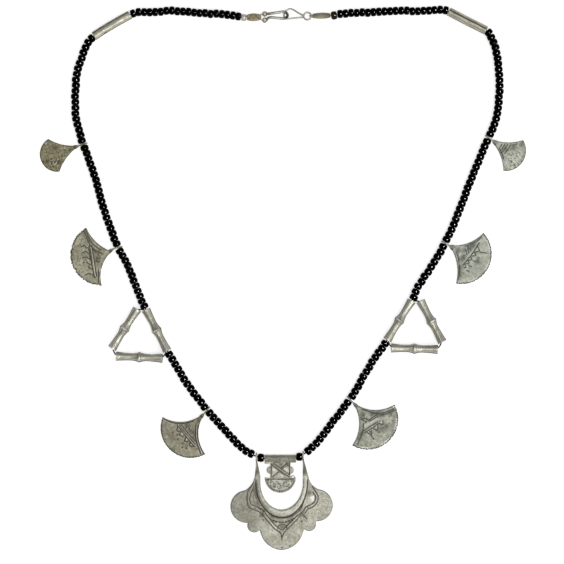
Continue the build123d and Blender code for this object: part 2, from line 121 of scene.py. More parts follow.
run_points = [np.array(points) for points in thread_runs.values()]
thread_line = np.empty((0, 2))
run_span = {}
for i, (run, points) in enumerate(zip(thread_runs, run_points)):
    from_last = points[0] - run_points[i - 1][-1]
    to_next = run_points[(i + 1) % len(run_points)][0] - points[-1]
    laid_run = smooth_run(points, unit(from_last), unit(to_next))
    run_span[run] = (len(thread_line), len(thread_line) + len(laid_run) - 1)
    thread_line = np.concatenate([thread_line, laid_run])
steps = np.linalg.norm(np.diff(thread_line, axis=0), axis=1)
thread_distance = np.concatenate([[0], np.cumsum(steps)])
thread_length = thread_distance[-1]
run_span = {run: (thread_distance[a], thread_distance[b]) for run, (a, b) in run_span.items()}


def on_thread(distance):
    """The point of the thread at a distance from the left knot, with its level."""
    across, up = (np.interp(distance, thread_distance, thread_line[:, i]) for i in (0, 1))
    return np.array([across, up, thread_level])


def thread_heading(distance, reach=0.2):
    return unit(on_thread(distance + reach) - on_thread(distance - reach))


def between(before, after):
    """The distance to the middle of the straight stretch between two runs."""
    return (run_span[before][1] + run_span[after][0]) / 2


def nodes_of(material):
    """Clears a new material or world and returns what adds a node with its sockets and settings."""
    material.use_nodes = True
    tree = material.node_tree
    tree.nodes.clear()

    def add(kind, sockets=None, **settings):
        made = tree.nodes.new("ShaderNode" + kind)
        for setting, value in settings.items():
            setattr(made, setting, value)
        for socket, value in (sockets or {}).items():
            if isinstance(value, bpy.types.NodeSocket):
                tree.links.new(value, made.inputs[socket])
            else:
                made.inputs[socket].default_value = value
        return made
    return add


def marked(add, mark):
    """What make_piece has written on each point under the name of a mark."""
    return add("Attribute", attribute_name=mark).outputs["Vector" if mark == "lie" else "Fac"]


def mixed(add, share, first, second):
    """Two colours mixed by a share from 0 to 1."""
    return add("Mix", {0: share, 6: first, 7: second}, data_type="RGBA").outputs[2]


def finished(add, height, strength, depth, look):
    """Ends a material with its relief and with what its surface looks like."""
    bump = add("Bump", {"Height": height, "Strength": strength, "Distance": depth}).outputs["Normal"]
    shader = add("BsdfPrincipled", {**look, "Normal": bump})
    add("OutputMaterial", {"Surface": shader.outputs["BSDF"]})


def make_piece(name, shells, finish, node, crease=50):
    """One piece from closed shells. A shell has its points in millimetres, its faces, how stained
    or painted with shade and how polished or painted with a highlight each point is, and as lie
    where the point is in the piece's own directions."""
    faces, first = [], 0
    for shell in shells:
        faces += [[first + corner for corner in face] for face in shell["faces"]]
        first += len(shell["points"])
    points = np.concatenate([shell["points"] for shell in shells])
    mesh = bpy.data.meshes.new(name)
    mesh.from_pydata((points + [*centre_tube_at, 0]) * 0.001, [], faces)
    # The stain mark holds real stains and painted shade, the polish mark rubbed wear and painted
    # highlights.
    for mark, kind, cell, width in (("lie", "FLOAT_VECTOR", "vector", [3]),
                                    ("stain", "FLOAT", "value", []), ("polish_and_highlight", "FLOAT", "value", [])):
        values = [np.broadcast_to(shell.get(mark, 0.0), [len(shell["points"])] + width)
                  for shell in shells]
        held = mesh.attributes.new(mark, kind, "POINT")
        held.data.foreach_set(cell, np.concatenate(values).astype(np.float32).ravel())
    mesh.shade_smooth()
    mesh.set_sharp_from_angle(angle=math.radians(crease))
    mesh.materials.append(finish)
    made = bpy.data.objects.new(name, mesh)
    bpy.context.scene.collection.objects.link(made)
    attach(made, "root")
    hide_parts(node)


def ring_faces(rows, around, closed=False):
    """Faces of a skin of rows, each a ring of points. A closed skin's last row meets its first."""
    faces = []
    for i in range(rows if closed else rows - 1):
        for j in range(around):
            here, there = i * around, (i + 1) % rows * around
            faces.append([here + j, there + j, there + (j + 1) % around, here + (j + 1) % around])
    return faces


def tube_along(line, radius, sides=10):
    """A round rod along a line of points, closed at both ends."""
    line = np.asarray(line, float)
    ahead = np.gradient(line, axis=0)
    ahead /= np.linalg.norm(ahead, axis=1)[:, None]
    side = np.cross(ahead[0], (0, 0, 1.0))
    if np.linalg.norm(side) < 1e-3:
        side = np.array([1.0, 0, 0])
    turn = np.linspace(0, 2 * np.pi, sides, endpoint=False)
    radius = np.broadcast_to(radius, len(line))
    rings, lie = [], []
    travelled = 0.0
    for i, (spot, way) in enumerate(zip(line, ahead)):
        if i:
            travelled += np.linalg.norm(spot - line[i - 1])
        side = unit(side - way * (side @ way))
        up = np.cross(side, way)
        rings.append(spot + radius[i] * (np.outer(np.cos(turn), side) + np.outer(np.sin(turn), up)))
        lie.append(np.stack([np.full(sides, travelled), turn * radius[i], np.full(sides, radius[i])], 1))
    last = (len(line) - 1) * sides
    faces = ring_faces(len(line), sides)
    faces += [list(range(sides)), [last + j for j in range(sides)][::-1]]
    return {"points": np.concatenate(rings), "faces": faces, "lie": np.concatenate(lie)}


def waxed_black():
    """Black thread with a twist that shows as slanting ridges."""
    material = bpy.data.materials.new("waxed_black_thread")
    add = nodes_of(material)
    lie = marked(add, "lie")
    twist = add("TexWave", {"Vector": lie, "Scale": 1.1, "Distortion": 0.6, "Detail": 1.0},
                bands_direction="DIAGONAL").outputs["Fac"]
    fuzz = add("TexNoise", {"Vector": lie, "Scale": 9.0, "Detail": 3.0}).outputs["Fac"]
    colour = mixed(add, fuzz, (0.006, 0.006, 0.006, 1), (0.03, 0.029, 0.027, 1))
    finished(add, twist, 0.6, 0.0001, {"Base Color": colour, "Roughness": 0.6, "Sheen Weight": 0.15})
    return material


thread_finish = waxed_black()


def lay_thread(name, start, end, node):
    """The thread from one distance to another, with its ends out of sight in the pieces."""
    spots = np.linspace(start, end, max(2, int((end - start) / thread_step)))
    run = tube_along([on_thread(spot) for spot in spots], thread_radius, sides=8)
    make_piece(name, [run], thread_finish, node)


# Beads: black pressed-glass rondelles, a little unequal and none quite square to the thread, with
# a rounded rim and a wide hole. Tabs, tubes and pendants part them into strands. One bead next to
# the right knot is brown glass.
bead_width = 4.2
bead_length = 2.55
bead_gap = 0.15
gap_closed = 0.9
bead_width_spread = (0.98, 1.025)
bead_length_spread = (0.975, 1.0)
bead_lean = 0.06
bead_nod = 0.05
bead_slip = 0.17
centre_bead_length = 3.3
centre_bead_room = 2.7
centre_bead_shift = 0.55
end_bead_length = 3.0
hole_radius = 0.6
hole_lip = 0.06
flat_share = 0.5
rim_fullness = 2.7
table_gap = 0.01
far_edge = cad_high[1] * 1000 - centre_tube_at[1] - 0.05
luck = np.random.default_rng(11)  # what makes no two pieces of handwork quite alike


def glass(name, dark, light, clear):
    """Pressed glass, darker in one bead and lighter in another, with the gloss a little specked."""
    material = bpy.data.materials.new(name)
    add = nodes_of(material)
    specks = add("TexNoise", {"Vector": marked(add, "lie"), "Scale": 1.6, "Detail": 4.0,
                              "Roughness": 0.6}).outputs["Fac"]
    colour = mixed(add, marked(add, "stain"), (*dark, 1), (*light, 1))
    rough = add("MapRange", {"Value": specks, "From Min": 0.35, "From Max": 0.7,
                             "To Min": clear, "To Max": clear + 0.05}).outputs["Result"]
    finished(add, specks, 0.05, 0.00012, {"Base Color": colour, "Roughness": rough,
                                          "Specular IOR Level": 0.5, "IOR": 1.07})
    return material


black_glass = glass("black_pressed_glass", (0.0002, 0.0002, 0.0002), (0.0008, 0.0007, 0.0006), 0.06)
brown_glass = glass("brown_pressed_glass", (0.010, 0.006, 0.003), (0.024, 0.014, 0.007), 0.16)


def turned(profile, around, closed=True):
    """A profile of (along, radius) pairs turned about X."""
    profile = np.array(profile)
    turn = np.linspace(0, 2 * np.pi, around, endpoint=False)
    rows = [np.stack([np.full(around, x), r * np.cos(turn), r * np.sin(turn)], 1) for x, r in profile]
    lie = [np.stack([np.full(around, x), r * turn, np.full(around, r)], 1) for x, r in profile]
    return {"points": np.concatenate(rows), "faces": ring_faces(len(profile), around, closed),
            "lie": np.concatenate(lie)}


def bead(length, width, around=28, arc=15):
    """A barrel about X: a full rim, nearly flat ends and a hole with softened lips."""
    half, crown = length / 2, width / 2
    flat = flat_share * crown
    power = 2 / rim_fullness
    turn = np.linspace(-np.pi / 2, np.pi / 2, arc)
    rim = [(half * np.sign(a) * abs(np.sin(a)) ** power,
            flat + (crown - flat) * abs(np.cos(a)) ** power) for a in turn]
    bore = [(half * 0.97, hole_radius + hole_lip), (half * 0.86, hole_radius)]
    return turned(rim + bore + [(-x, r) for x, r in bore[::-1]], around)


def facing(heading, up=(0, 0, 1.0)):
    """The three directions of a piece made along X when it is laid along a heading."""
    along = unit(heading)
    side = unit(np.cross(up, along))
    return np.array([along, side, np.cross(along, side)])


def set_down(shell, spot, axes):
    """A shell moved to its spot and turned to its directions."""
    return {**shell, "points": shell["points"] @ axes + spot}


def string_beads(name, centres, length, node, finish, squared_to=None):
    """Beads at distances along the thread, each of its own size and a little out of line. They are
    squared to the thread, or to another heading where one is given."""
    shells = []
    pitch = centres[1] - centres[0] if len(centres) > 1 else length
    length += gap_closed * (pitch - length)  # the beads close up most of the gap left between them
    for centre in centres:
        width = bead_width * luck.uniform(*bead_width_spread)
        shell = bead(length * luck.uniform(*bead_length_spread), width)
        heading = thread_heading(centre) if squared_to is None else squared_to
        axes = facing(heading)
        lean, nod = luck.uniform(-bead_lean, bead_lean), luck.uniform(-bead_nod, bead_nod)
        slip = luck.uniform(-bead_slip, bead_slip)
        shell["lie"] = shell["lie"] + luck.uniform(0, 50, 3)
        shell["stain"] = luck.uniform(0, 1) ** 2
        rise = (width - bead_width) / 2 + table_gap
        spot = on_thread(centre) + slip * axes[1] + [0, 0, rise]
        spot[1] = min(spot[1], far_edge - width / 2)
        shells.append(set_down(shell, spot, facing(heading + lean * axes[1] + nod * axes[2])))
    make_piece(name, shells, finish, node)


# Where each piece is strung on the thread, the lengths it takes up there and the room beside it
fan_places = {"fan_left_1": ("left_side", 0.391), "fan_left_2": ("left_side", 0.766),
              "fan_left_3": ("left_front", 0.482), "fan_right_3": ("right_front", 0.534),
              "fan_right_2": ("right_side", 0.229), "fan_right_1": ("right_side", 0.618)}
fan_at = {name: run_span[run][0] + place * (run_span[run][1] - run_span[run][0])
          for name, (run, place) in fan_places.items()}
spacer_at = {"left": between("left_back", "left_side"), "right": between("right_side", "right_back")}
bamboo_at = {"left": between("left_side", "left_front"), "right": between("right_front", "right_side")}
bail_at = between("left_front", "right_front")
bail_length = 15.8
spacer_length = 21.1
bamboo_length = 23.3
fan_sheet = 0.65
ear_sheet = 0.75
cap_at = 1.5
cap_length = 2.4
end_room = 0.3
spacer_room = 0.3
bamboo_room = 0.65
sheet_room = 0.35
ear_room_inside = 0.7
ear_room_outside = 1.3
ear_step = sheet_room + centre_bead_room + ear_room_inside + ear_sheet / 2
ear_at = {"left": bail_at - bail_length / 2 - ear_step, "right": bail_at + bail_length / 2 + ear_step}
end_bead_at = thread_length - end_room - end_bead_length / 2
bail_heading = unit(on_thread(bail_at + 1) - on_thread(bail_at - 1))

# What stands on the thread between strands: centre, half length, room before and after it
stops = [(cap_at, cap_length / 2, 0.0, end_room), (end_bead_at, end_bead_length / 2, end_room, 0.0),
         (bail_at, bail_length / 2, sheet_room, sheet_room),
         (ear_at["left"], ear_sheet / 2, ear_room_outside, ear_room_inside),
         (ear_at["right"], ear_sheet / 2, ear_room_inside, ear_room_outside)]
stops += [(spot, spacer_length / 2, spacer_room, spacer_room) for spot in spacer_at.values()]
stops += [(spot, bamboo_length / 2, bamboo_room, bamboo_room) for spot in bamboo_at.values()]
stops += [(spot, fan_sheet / 2, sheet_room, sheet_room) for spot in fan_at.values()]
stops.sort()
strands = [f"left_{i}" for i in range(1, 7)] + ["centre_left", "centre_right"]
strands += [f"right_{i}" for i in range(6, 0, -1)]
for strand, before, after in zip(strands, stops, stops[1:]):
    start = before[0] + before[1] + before[3]
    end = after[0] - after[1] - after[2]
    if "centre" in strand:
        away = -1 if strand == "centre_left" else 1
        spare = (centre_bead_length - centre_bead_room) / 2
        centres = [(start + end) / 2 + away * spare * centre_bead_shift]
        node, length, squared_to = f"bead_{strand}", centre_bead_length, bail_heading
    else:
        count = int((end - start - bead_length) / (bead_length + bead_gap) + 1e-6) + 1
        centres = np.linspace(start + bead_length / 2, end - bead_length / 2, count)
        node, length, squared_to = f"beads_{strand}", bead_length, None
    string_beads(f"glass_beads_{strand}", centres, length, node, black_glass, squared_to)
    lay_thread(f"thread_{strand}", 2 * thread_tuck if strand == "left_1" else before[0] + thread_tuck,
               end if strand == "right_1" else after[0] - thread_tuck, node)
string_beads("glass_bead_end", [end_bead_at], end_bead_length, "bead_end_right", brown_glass)
lay_thread("thread_end", end_bead_at - end_bead_length / 2 - thread_tuck, thread_length - 2 * thread_tuck,
           "bead_end_right")

# Spacer tubes: two pieces of silver sheet rolled round a rod until the edges just lap, left
# unsoldered, dented by wear and slipped over the thread between the back and the sides.
spacer_width = 4.5
spacer_wall = 0.4
spacer_lap = 0.16
seam_opening = 0.03
seam_width = 0.26
# How dark the painted shade is where round pieces turn down, which is also the tarnish in tab holes, and
# the height and fade of that shade.
tarnish_and_shade = 0.9
shade_below = 0.45
shade_fade = 0.15
bore_stain = 0.8
upward = np.pi / 2


def old_silver(name, bright, dull, dark, streaks=0.0, smooth=0.0):
    """Worn silver: mottled, pitted and scratched, dark where it is stained or painted with shade and
    bright where it is rubbed or painted with a highlight. Streaks run along a piece that was drawn
    or rolled, and smooth takes roughness off."""
    material = bpy.data.materials.new(name)
    add = nodes_of(material)

    def spread(value, low, high, to_low=0.0, to_high=1.0):
        return add("MapRange", {"Value": value, "From Min": low, "From Max": high,
                                "To Min": to_low, "To Max": to_high}).outputs["Result"]

    def worked(operation, first, second):
        return add("Math", {0: first, 1: second}, operation=operation, use_clamp=True).outputs[0]

    def noise(along, scale, detail, roughness=0.5):
        return add("TexNoise", {"Vector": along, "Scale": scale, "Detail": detail,
                                "Roughness": roughness}).outputs["Fac"]

    lie = marked(add, "lie")
    patches = noise(lie, 0.17, 2.0)
    mottle = noise(lie, 0.8, 6.0, 0.66)
    cells = add("TexVoronoi", {"Vector": lie, "Scale": 0.95}).outputs["Distance"]
    drawn_out = add("VectorMath", {0: lie, 1: (0.16, 3.2, 3.2)}, operation="MULTIPLY").outputs["Vector"]
    scratches = noise(drawn_out, 1.0, 3.0)
    pits = worked("MULTIPLY", spread(cells, 0.22, 0.08), spread(patches, 0.42, 0.60))
    tone = worked("ADD", spread(mottle, 0.40, 0.60, 0.0, 0.62 - streaks),
                  spread(patches, 0.40, 0.60, 0.0, 0.38))
    tone = worked("ADD", tone, spread(scratches, 0.40, 0.60, 0.0, streaks))
    colour = mixed(add, tone, (*dull, 1), (*bright, 1))
    # Pale where it is rubbed, and where a highlight is painted.
    colour = mixed(add, marked(add, "polish_and_highlight"), colour, (0.93, 0.92, 0.86, 1))
    # Dark where it is stained or pitted, and where shade is painted.
    darkness = worked("MAXIMUM", marked(add, "stain"), worked("MULTIPLY", pits, 0.75))
    colour = mixed(add, darkness, colour, (*dark, 1))
    rough = worked("ADD", spread(tone, 0.0, 1.0, 0.46 - smooth, 0.33 - smooth),
                   worked("MULTIPLY", darkness, 0.22))
    height = worked("ADD", worked("MULTIPLY", mottle, 0.7), worked("MULTIPLY", scratches, 0.3))
    height = worked("SUBTRACT", height, worked("MULTIPLY", pits, 0.4))
    finished(add, height, 0.6, 0.0004, {"Base Color": colour, "Metallic": 1.0, "Roughness": rough})
    return material


tube_silver = old_silver("rolled_silver", (0.48, 0.47, 0.38), (0.29, 0.28, 0.22), (0.045, 0.04, 0.03),
                         streaks=0.3, smooth=0.05)


def fading(away, width):
    """How strong something still is at a distance from its middle, where it is 1."""
    return np.exp(-(away / width) ** 2)


def rolled(outer, inner, around, seam, lap=0.0, dents=(), bow=0.0, seam_side=0.0):
    """A tube about X, rolled from sheet. Its skin steps down by the lap at the seam, which runs
    along it as a dark line. A dent has its place along, its turn, its depth and its size. The tube
    bows sideways, and painted shade covers it below a height that is raised on the seam's side."""
    open_turn = 2 * np.pi - seam_opening
    turn = seam + np.linspace(0, open_turn, around)
    rows, lie, stain = [], [], []
    half = max(abs(x) for x, r in outer)
    for skin, (x, r) in [(1, row) for row in outer] + [(0, row) for row in inner]:
        radius = np.full(around, float(r))
        if skin:
            radius -= lap * (turn - seam) / open_turn
            for place, dent_turn, depth, size in dents:
                aside = np.angle(np.exp(1j * (turn - dent_turn))) * r
                radius -= depth * np.exp(-((x - place) ** 2 + aside ** 2) / size ** 2)
        sway = bow * (1 - (x / half) ** 2)
        rows.append(np.stack([np.full(around, x), radius * np.cos(turn) + sway, radius * np.sin(turn)], 1))
        lie.append(np.stack([np.full(around, x), r * turn, np.full(around, r)], 1))
        if skin:
            beside_seam = np.minimum(turn - seam, seam + 2 * np.pi - turn) * r
            # Painted shade below a height, which is raised on the seam's side.
            dark_below = shade_below + seam_side * (np.cos(turn) * np.cos(seam) > 0)
            shaded_below = tarnish_and_shade * np.clip((dark_below - np.sin(turn)) / shade_fade, 0, 1)
            stain.append(np.maximum(fading(beside_seam, seam_width), shaded_below))
        else:
            stain.append(np.full(around, bore_stain))
    return {"points": np.concatenate(rows), "faces": ring_faces(len(rows), around, True),
            "lie": np.concatenate(lie), "stain": np.concatenate(stain)}


def chord_at(centre, length):
    """Where a straight piece lies that the thread runs through: its middle and its directions."""
    start, end = on_thread(centre - length / 2), on_thread(centre + length / 2)
    return (start + end) / 2, facing(end - start)


def soft_ends(length, radius, soft=0.22, rows=60):
    """The outer rows of a straight tube, with rounded rims."""
    half = length / 2
    rim = [(-half, radius - soft), (-half + 0.3 * soft, radius - 0.25 * soft), (-half + soft, radius)]
    body = [(x, radius) for x in np.linspace(-half + 3 * soft, half - 3 * soft, rows)]
    return rim + body + [(-x, r) for x, r in rim[::-1]]


spacer_seams = {"left": upward + 0.75, "right": upward + 0.25}
spacer_bows = {"left": -0.3, "right": 0.1}
spacer_dents = {
    "left": [(-6.5, upward - 0.5, 0.16, 1.1), (-1.0, upward + 0.2, 0.12, 1.7),
             (3.4, upward + 0.9, 0.2, 1.0), (7.6, upward - 0.2, 0.16, 1.2),
             (5.0, upward - 1.1, 0.12, 1.4)],
    "right": [(-7.8, upward + 0.5, 0.15, 0.9), (-4.6, upward - 0.8, 0.16, 1.5),
              (0.6, upward + 0.1, 0.14, 1.3), (2.6, upward - 1.0, 0.2, 1.1),
              (8.0, upward + 0.4, 0.14, 1.2)],
}
for side in ("left", "right"):
    radius = spacer_width / 2
    bore = radius - spacer_wall
    half = spacer_length / 2
    tube = rolled(soft_ends(spacer_length, radius), [(half, bore), (-half, bore)], 64,
                  spacer_seams[side], spacer_lap, spacer_dents[side], spacer_bows[side])
    tube["lie"] = tube["lie"] + luck.uniform(0, 60, 3)
    place, axes = chord_at(spacer_at[side], spacer_length)
    place[2] = radius
    make_piece(f"rolled_tube_{side}", [set_down(tube, place, axes)],
               tube_silver, f"spacer_tube_{side}")

# Triangles: three hollow silver tubes shaped like bamboo, turned over a core with a sharp ring in
# the middle and flared ends. One is strung on the necklace, and a thin black thread runs from it
# through the other two and back.
bamboo_end_width = 4.7
bamboo_waist_width = 3.7
bamboo_ring_width = 5.4
bamboo_crest = 0.5
bamboo_bore = 2.4
bamboo_lap = 0.05
bamboo_level = bamboo_ring_width / 2
bamboo_seam = 1.3
bamboo_seam_side = 0.22
bamboo_dents = 9
bamboo_dent_depth = (0.05, 0.12)
bamboo_dent_size = (0.7, 1.4)
waist_share = 0.38
swell_share = 0.14
corner_gap = 0.25
side_thread_width = 0.7
side_thread_aside = 0.82
side_thread_bend = 0.6
side_thread_tail = 1.5
side_thread_clearance = 0.025
bamboo_silver = old_silver("bamboo_silver", (0.49, 0.48, 0.41), (0.29, 0.28, 0.22), (0.04, 0.036, 0.024),
                           streaks=0.32, smooth=0.05)


def arc_through(first, middle, last, count):
    """Points on the arc of a circle through three points."""
    (ax, ay), (bx, by), (cx, cy) = first, middle, last
    double = 2 * (ax * (by - cy) + bx * (cy - ay) + cx * (ay - by))
    squares = [x * x + y * y for x, y in (first, middle, last)]
    centre = complex((squares[0] * (by - cy) + squares[1] * (cy - ay) + squares[2] * (ay - by)) / double,
                     (squares[0] * (cx - bx) + squares[1] * (ax - cx) + squares[2] * (bx - ax)) / double)
    spokes = [complex(x, y) - centre for x, y in (first, middle, last)]
    bend = [float(np.angle(b / a)) for a, b in zip(spokes, spokes[1:])]
    whole = sum(b if np.sign(b) == np.sign(bend[0]) else b + np.sign(bend[0]) * 2 * np.pi for b in bend)
    swept = centre + spokes[0] * np.exp(1j * np.linspace(0, whole, count))
    return np.stack([swept.real, swept.imag], 1)


def cut_corners(points, cuts=3):
    """A line through points whose corners are cut off again and again until it is smooth."""
    line = np.array(points, float)
    for _ in range(cuts):
        a, b = line[:-1], line[1:]
        cut = np.stack([0.75 * a + 0.25 * b, 0.25 * a + 0.75 * b], 1).reshape(-1, 3)
        line = np.concatenate([line[:1], cut, line[-1:]])
    return line


def bamboo_tube(seam):
    """A tube that narrows from flared ends to waists and swells to a sharp ring, with small dents,
    tarnish and a painted shadow beside the ring, rims rubbed bright and a painted highlight on the crest."""
    half, crest = bamboo_length / 2, bamboo_crest / 2
    end, waist, ring = bamboo_end_width / 2, bamboo_waist_width / 2, bamboo_ring_width / 2
    waist_at, swell_at = waist_share * half, swell_share * half
    flare = arc_through((-half, end), (-(half + waist_at) / 2, (end + 2 * waist) / 3),
                        (-waist_at, waist), 16)
    swell = arc_through((-waist_at, waist), (-swell_at, (2 * waist + ring) / 3),
                        (-crest, ring - 0.1), 14)
    side = [(-half, end - 0.16), (-half + 0.08, end - 0.04)] + [tuple(p) for p in flare[1:]]
    side += [tuple(p) for p in swell[1:]] + [(-0.55 * crest, ring - 0.02)]
    outer = side + [(0.0, ring)] + [(-x, r) for x, r in side[::-1]]
    inner = [(x * half, bamboo_bore / 2) for x in (1, -1)]
    dents = [(luck.uniform(-0.9, 0.9) * half, luck.uniform(0, 6.3), luck.uniform(*bamboo_dent_depth),
              luck.uniform(*bamboo_dent_size)) for _ in range(bamboo_dents)]
    tube = rolled(outer, inner, 56, seam, bamboo_lap, dents, seam_side=bamboo_seam_side)
    along, turn = tube["points"][:, 0], np.arctan2(tube["points"][:, 2], tube["points"][:, 1])
    painted_highlight_turn, painted_shade = upward + luck.uniform(-0.5, 0.5), upward + luck.uniform(-0.8, 0.8)
    # Beside the ring: tarnish in the crease all round, and a painted shadow at one turn.
    beside_ring = fading(abs(along) - 0.6, 0.3) * (0.1 + 0.7 * fading(turn - painted_shade, 0.4))
    tube["stain"] = np.maximum(tube["stain"], beside_ring)
    # A painted highlight across the crest near its top; the rims are rubbed bright.
    crest_highlight = fading(along, 0.55) * fading(turn - painted_highlight_turn, 0.42)
    tube["polish_and_highlight"] = 0.9 * crest_highlight + 0.3 * fading(abs(along) - half, 0.5)
    tube["lie"] = tube["lie"] + luck.uniform(0, 60, 3)
    return tube


for side in ("left", "right"):
    place, axes = chord_at(bamboo_at[side], bamboo_length)
    heading, outward = axes[0], -axes[1]
    edge = bamboo_length + 2 * corner_gap
    half_width = bamboo_end_width / 2
    lift = np.array([0, 0, bamboo_level - thread_level])
    first = place + lift + outward * half_width - heading * edge / 2
    last = first + heading * edge
    apex = (first + last) / 2 + outward * edge * math.sqrt(3) / 2
    middle = (first + last + apex) / 3
    beyond = bamboo_length / 2 + side_thread_width / 2 + side_thread_clearance
    route = []
    for role, start, end in (("strand", first, last), ("outer", first, apex), ("bottom", apex, last)):
        along, inward = unit(end - start), unit(middle - (start + end) / 2)
        spot = (start + end) / 2 - inward * half_width
        seam = upward + bamboo_seam * (1 if np.cross(along, inward)[2] > 0 else -1)
        make_piece(f"bamboo_tube_{side}_{role}", [set_down(bamboo_tube(seam), spot, facing(along))],
                   bamboo_silver, f"bamboo_tube_{side}_{role}")
        line = spot + inward * side_thread_aside
        near, far = line - along * beyond, line + along * beyond
        bend, tail = along * side_thread_bend, along * side_thread_tail
        if role == "strand":
            top, foot = [near + tail, near + bend, near], [far, far - bend, far - tail]
        else:
            route += [near, near + bend, far - bend, far]
    line = cut_corners(top + route + foot)
    line[:, 2] = bamboo_level
    make_piece(f"side_thread_{side}", [tube_along(line, side_thread_width / 2, 8)], thread_finish,
               f"triangle_thread_{side}")

# Fans: six pieces of hammered silver sheet, each cut to a fan with a narrow neck. The neck is
# twisted upright and pierced for the thread, the face is chased with punches and liners, and the
# outer edge lies on the table. The toothed ones have filed edges.
tab_height = 2.4
tab_reach = 2.3
tab_hole = 1.5
neck_start = 2.2
neck_end = 5.2
neck_rows = 13
side_middle = 0.78
tooth_width = 0.37
tooth_fade = 0.8
dot_inset = 0.36
dot_size = 0.43
bevel_highlight_inset = 0.75
fan_blows = 46
blow_depth = 0.07
blow_size = 2.2
back_stain = 0.75
back_skip = 8
tools = {
    # Each tool's lift, half width, stain and polish
    "liner": (-0.10, 0.24, 1.00, 0.0),
    "scribe": (-0.06, 0.26, 0.95, 0.0),
    "ridge": (0.12, 0.26, 0.0, 0.45),
    "punch": (-0.14, 0.36, 1.00, 0.0),
    "pit": (-0.08, 0.28, 0.80, 0.0),
    "boss": (0.12, 0.36, 0.0, 0.70),
    "shade": (-0.03, 1.50, 0.55, 0.0),
    "rub": (0.0, 1.20, 0.0, 0.55),
    "pane": (0.08, 0.70, 0.0, 1.00),
    "gloss": (0.03, 0.75, 0.0, 0.35),
}


def distance_to(across, up, line):
    """How far each point of a sheet is from a line of points on it, or from one point."""
    nearest = np.hypot(across - line[0][0], up - line[0][1])
    for (ax, ay), (bx, by) in zip(line[:-1], line[1:]):
        dx, dy = bx - ax, by - ay
        share = np.clip(((across - ax) * dx + (up - ay) * dy) / (dx * dx + dy * dy), 0, 1)
        nearest = np.minimum(nearest, np.hypot(across - ax - share * dx, up - ay - share * dy))
    return nearest


def eased(line, step=0.5):
    """A smooth curve through three or more points."""
    if len(line) < 3:
        return line
    points = np.array(line, float)
    return smooth_run(points, unit(points[1] - points[0]), unit(points[-1] - points[-2]), step)


def tooled(across, up, work):
    """What the tools leave on a sheet: how far it is lifted, stained and rubbed bright."""
    lift, stain, polish_and_highlight = (np.zeros_like(across) for _ in range(3))
    for tool, lines in work.items():
        rise, width, dark, bright = tools[tool]
        for line in lines:
            line = eased(line)
            ends = np.array(line)
            low, high = ends.min(axis=0) - 3 * width, ends.max(axis=0) + 3 * width
            near = (across > low[0]) & (across < high[0]) & (up > low[1]) & (up < high[1])
            mark = fading(distance_to(across[near], up[near], line), width)
            lift[near] += rise * mark
            stain[near] = np.maximum(stain[near], dark * mark)
            polish_and_highlight[near] = np.maximum(polish_and_highlight[near], bright * mark)
    return lift, stain, polish_and_highlight


def hammered(across, up, blows, depth, size=blow_size):
    """Shallow dimples of hammer blows all over a sheet."""
    lift = np.zeros_like(across)
    for _ in range(blows):
        x, y = luck.uniform(across.min(), across.max()), luck.uniform(up.min(), up.max())
        spread = luck.uniform(0.5, 1.3) * size
        lift += luck.uniform(-1, 1) * depth * np.exp(-((across - x) ** 2 + (up - y) ** 2) / spread ** 2)
    return lift


def closed_sheet(front, back, skip):
    """A closed sheet between two grids of points. The back keeps every skip-th column, but all
    of them in its first and last rows."""
    rows, columns = front.shape[:2]
    kept = np.arange(0, columns, skip)
    face = np.arange(rows * columns).reshape(rows, columns)
    first = rows * columns + np.arange(columns)
    inner = first[-1] + 1 + np.arange((rows - 2) * len(kept)).reshape(rows - 2, len(kept))
    last = inner[-1, -1] + 1 + np.arange(columns)

    def quads(a, b, c, d):
        return np.stack([a.ravel(), b.ravel(), c.ravel(), d.ravel()], 1).tolist()

    faces = quads(face[:-1, :-1], face[1:, :-1], face[1:, 1:], face[:-1, 1:])
    faces += quads(inner[:-1, :-1], inner[:-1, 1:], inner[1:, 1:], inner[1:, :-1])
    for k in range(len(kept) - 1):
        stretch = slice(k * skip, (k + 1) * skip + 1)
        faces.append(first[stretch].tolist() + [int(inner[0, k + 1]), int(inner[0, k])])
        faces.append([int(inner[-1, k]), int(inner[-1, k + 1])] + last[stretch][::-1].tolist())
    near = np.concatenate([first[:1], inner[:, 0], last[:1]])
    far = np.concatenate([first[-1:], inner[:, -1], last[-1:]])
    faces += quads(face[:-1, 0], near[:-1], near[1:], face[1:, 0])
    faces += quads(face[:-1, -1], face[1:, -1], far[1:], far[:-1])
    faces += quads(face[0, :-1], face[0, 1:], first[1:], first[:-1])
    faces += quads(face[-1, :-1], last[:-1], last[1:], face[-1, 1:])
    points = [front.reshape(-1, 3), back[0], back[1:-1, kept].reshape(-1, 3), back[-1]]
    return {"points": np.concatenate(points), "faces": faces}


def on_sheet(front, back, lie, stain, polish_and_highlight):
    """A closed sheet with its marks on the face. Its back is plain and dark."""
    shell = closed_sheet(front, back, back_skip)
    behind = len(shell["points"]) - stain.size
    shell["lie"] = np.concatenate([lie.reshape(-1, 3), shell["points"][-behind:] + [40.0, 0, 0]])
    shell["stain"] = np.concatenate([stain.ravel(), np.full(behind, back_stain)])
    shell["polish_and_highlight"] = np.concatenate([polish_and_highlight.ravel(), np.zeros(behind)])
    return shell


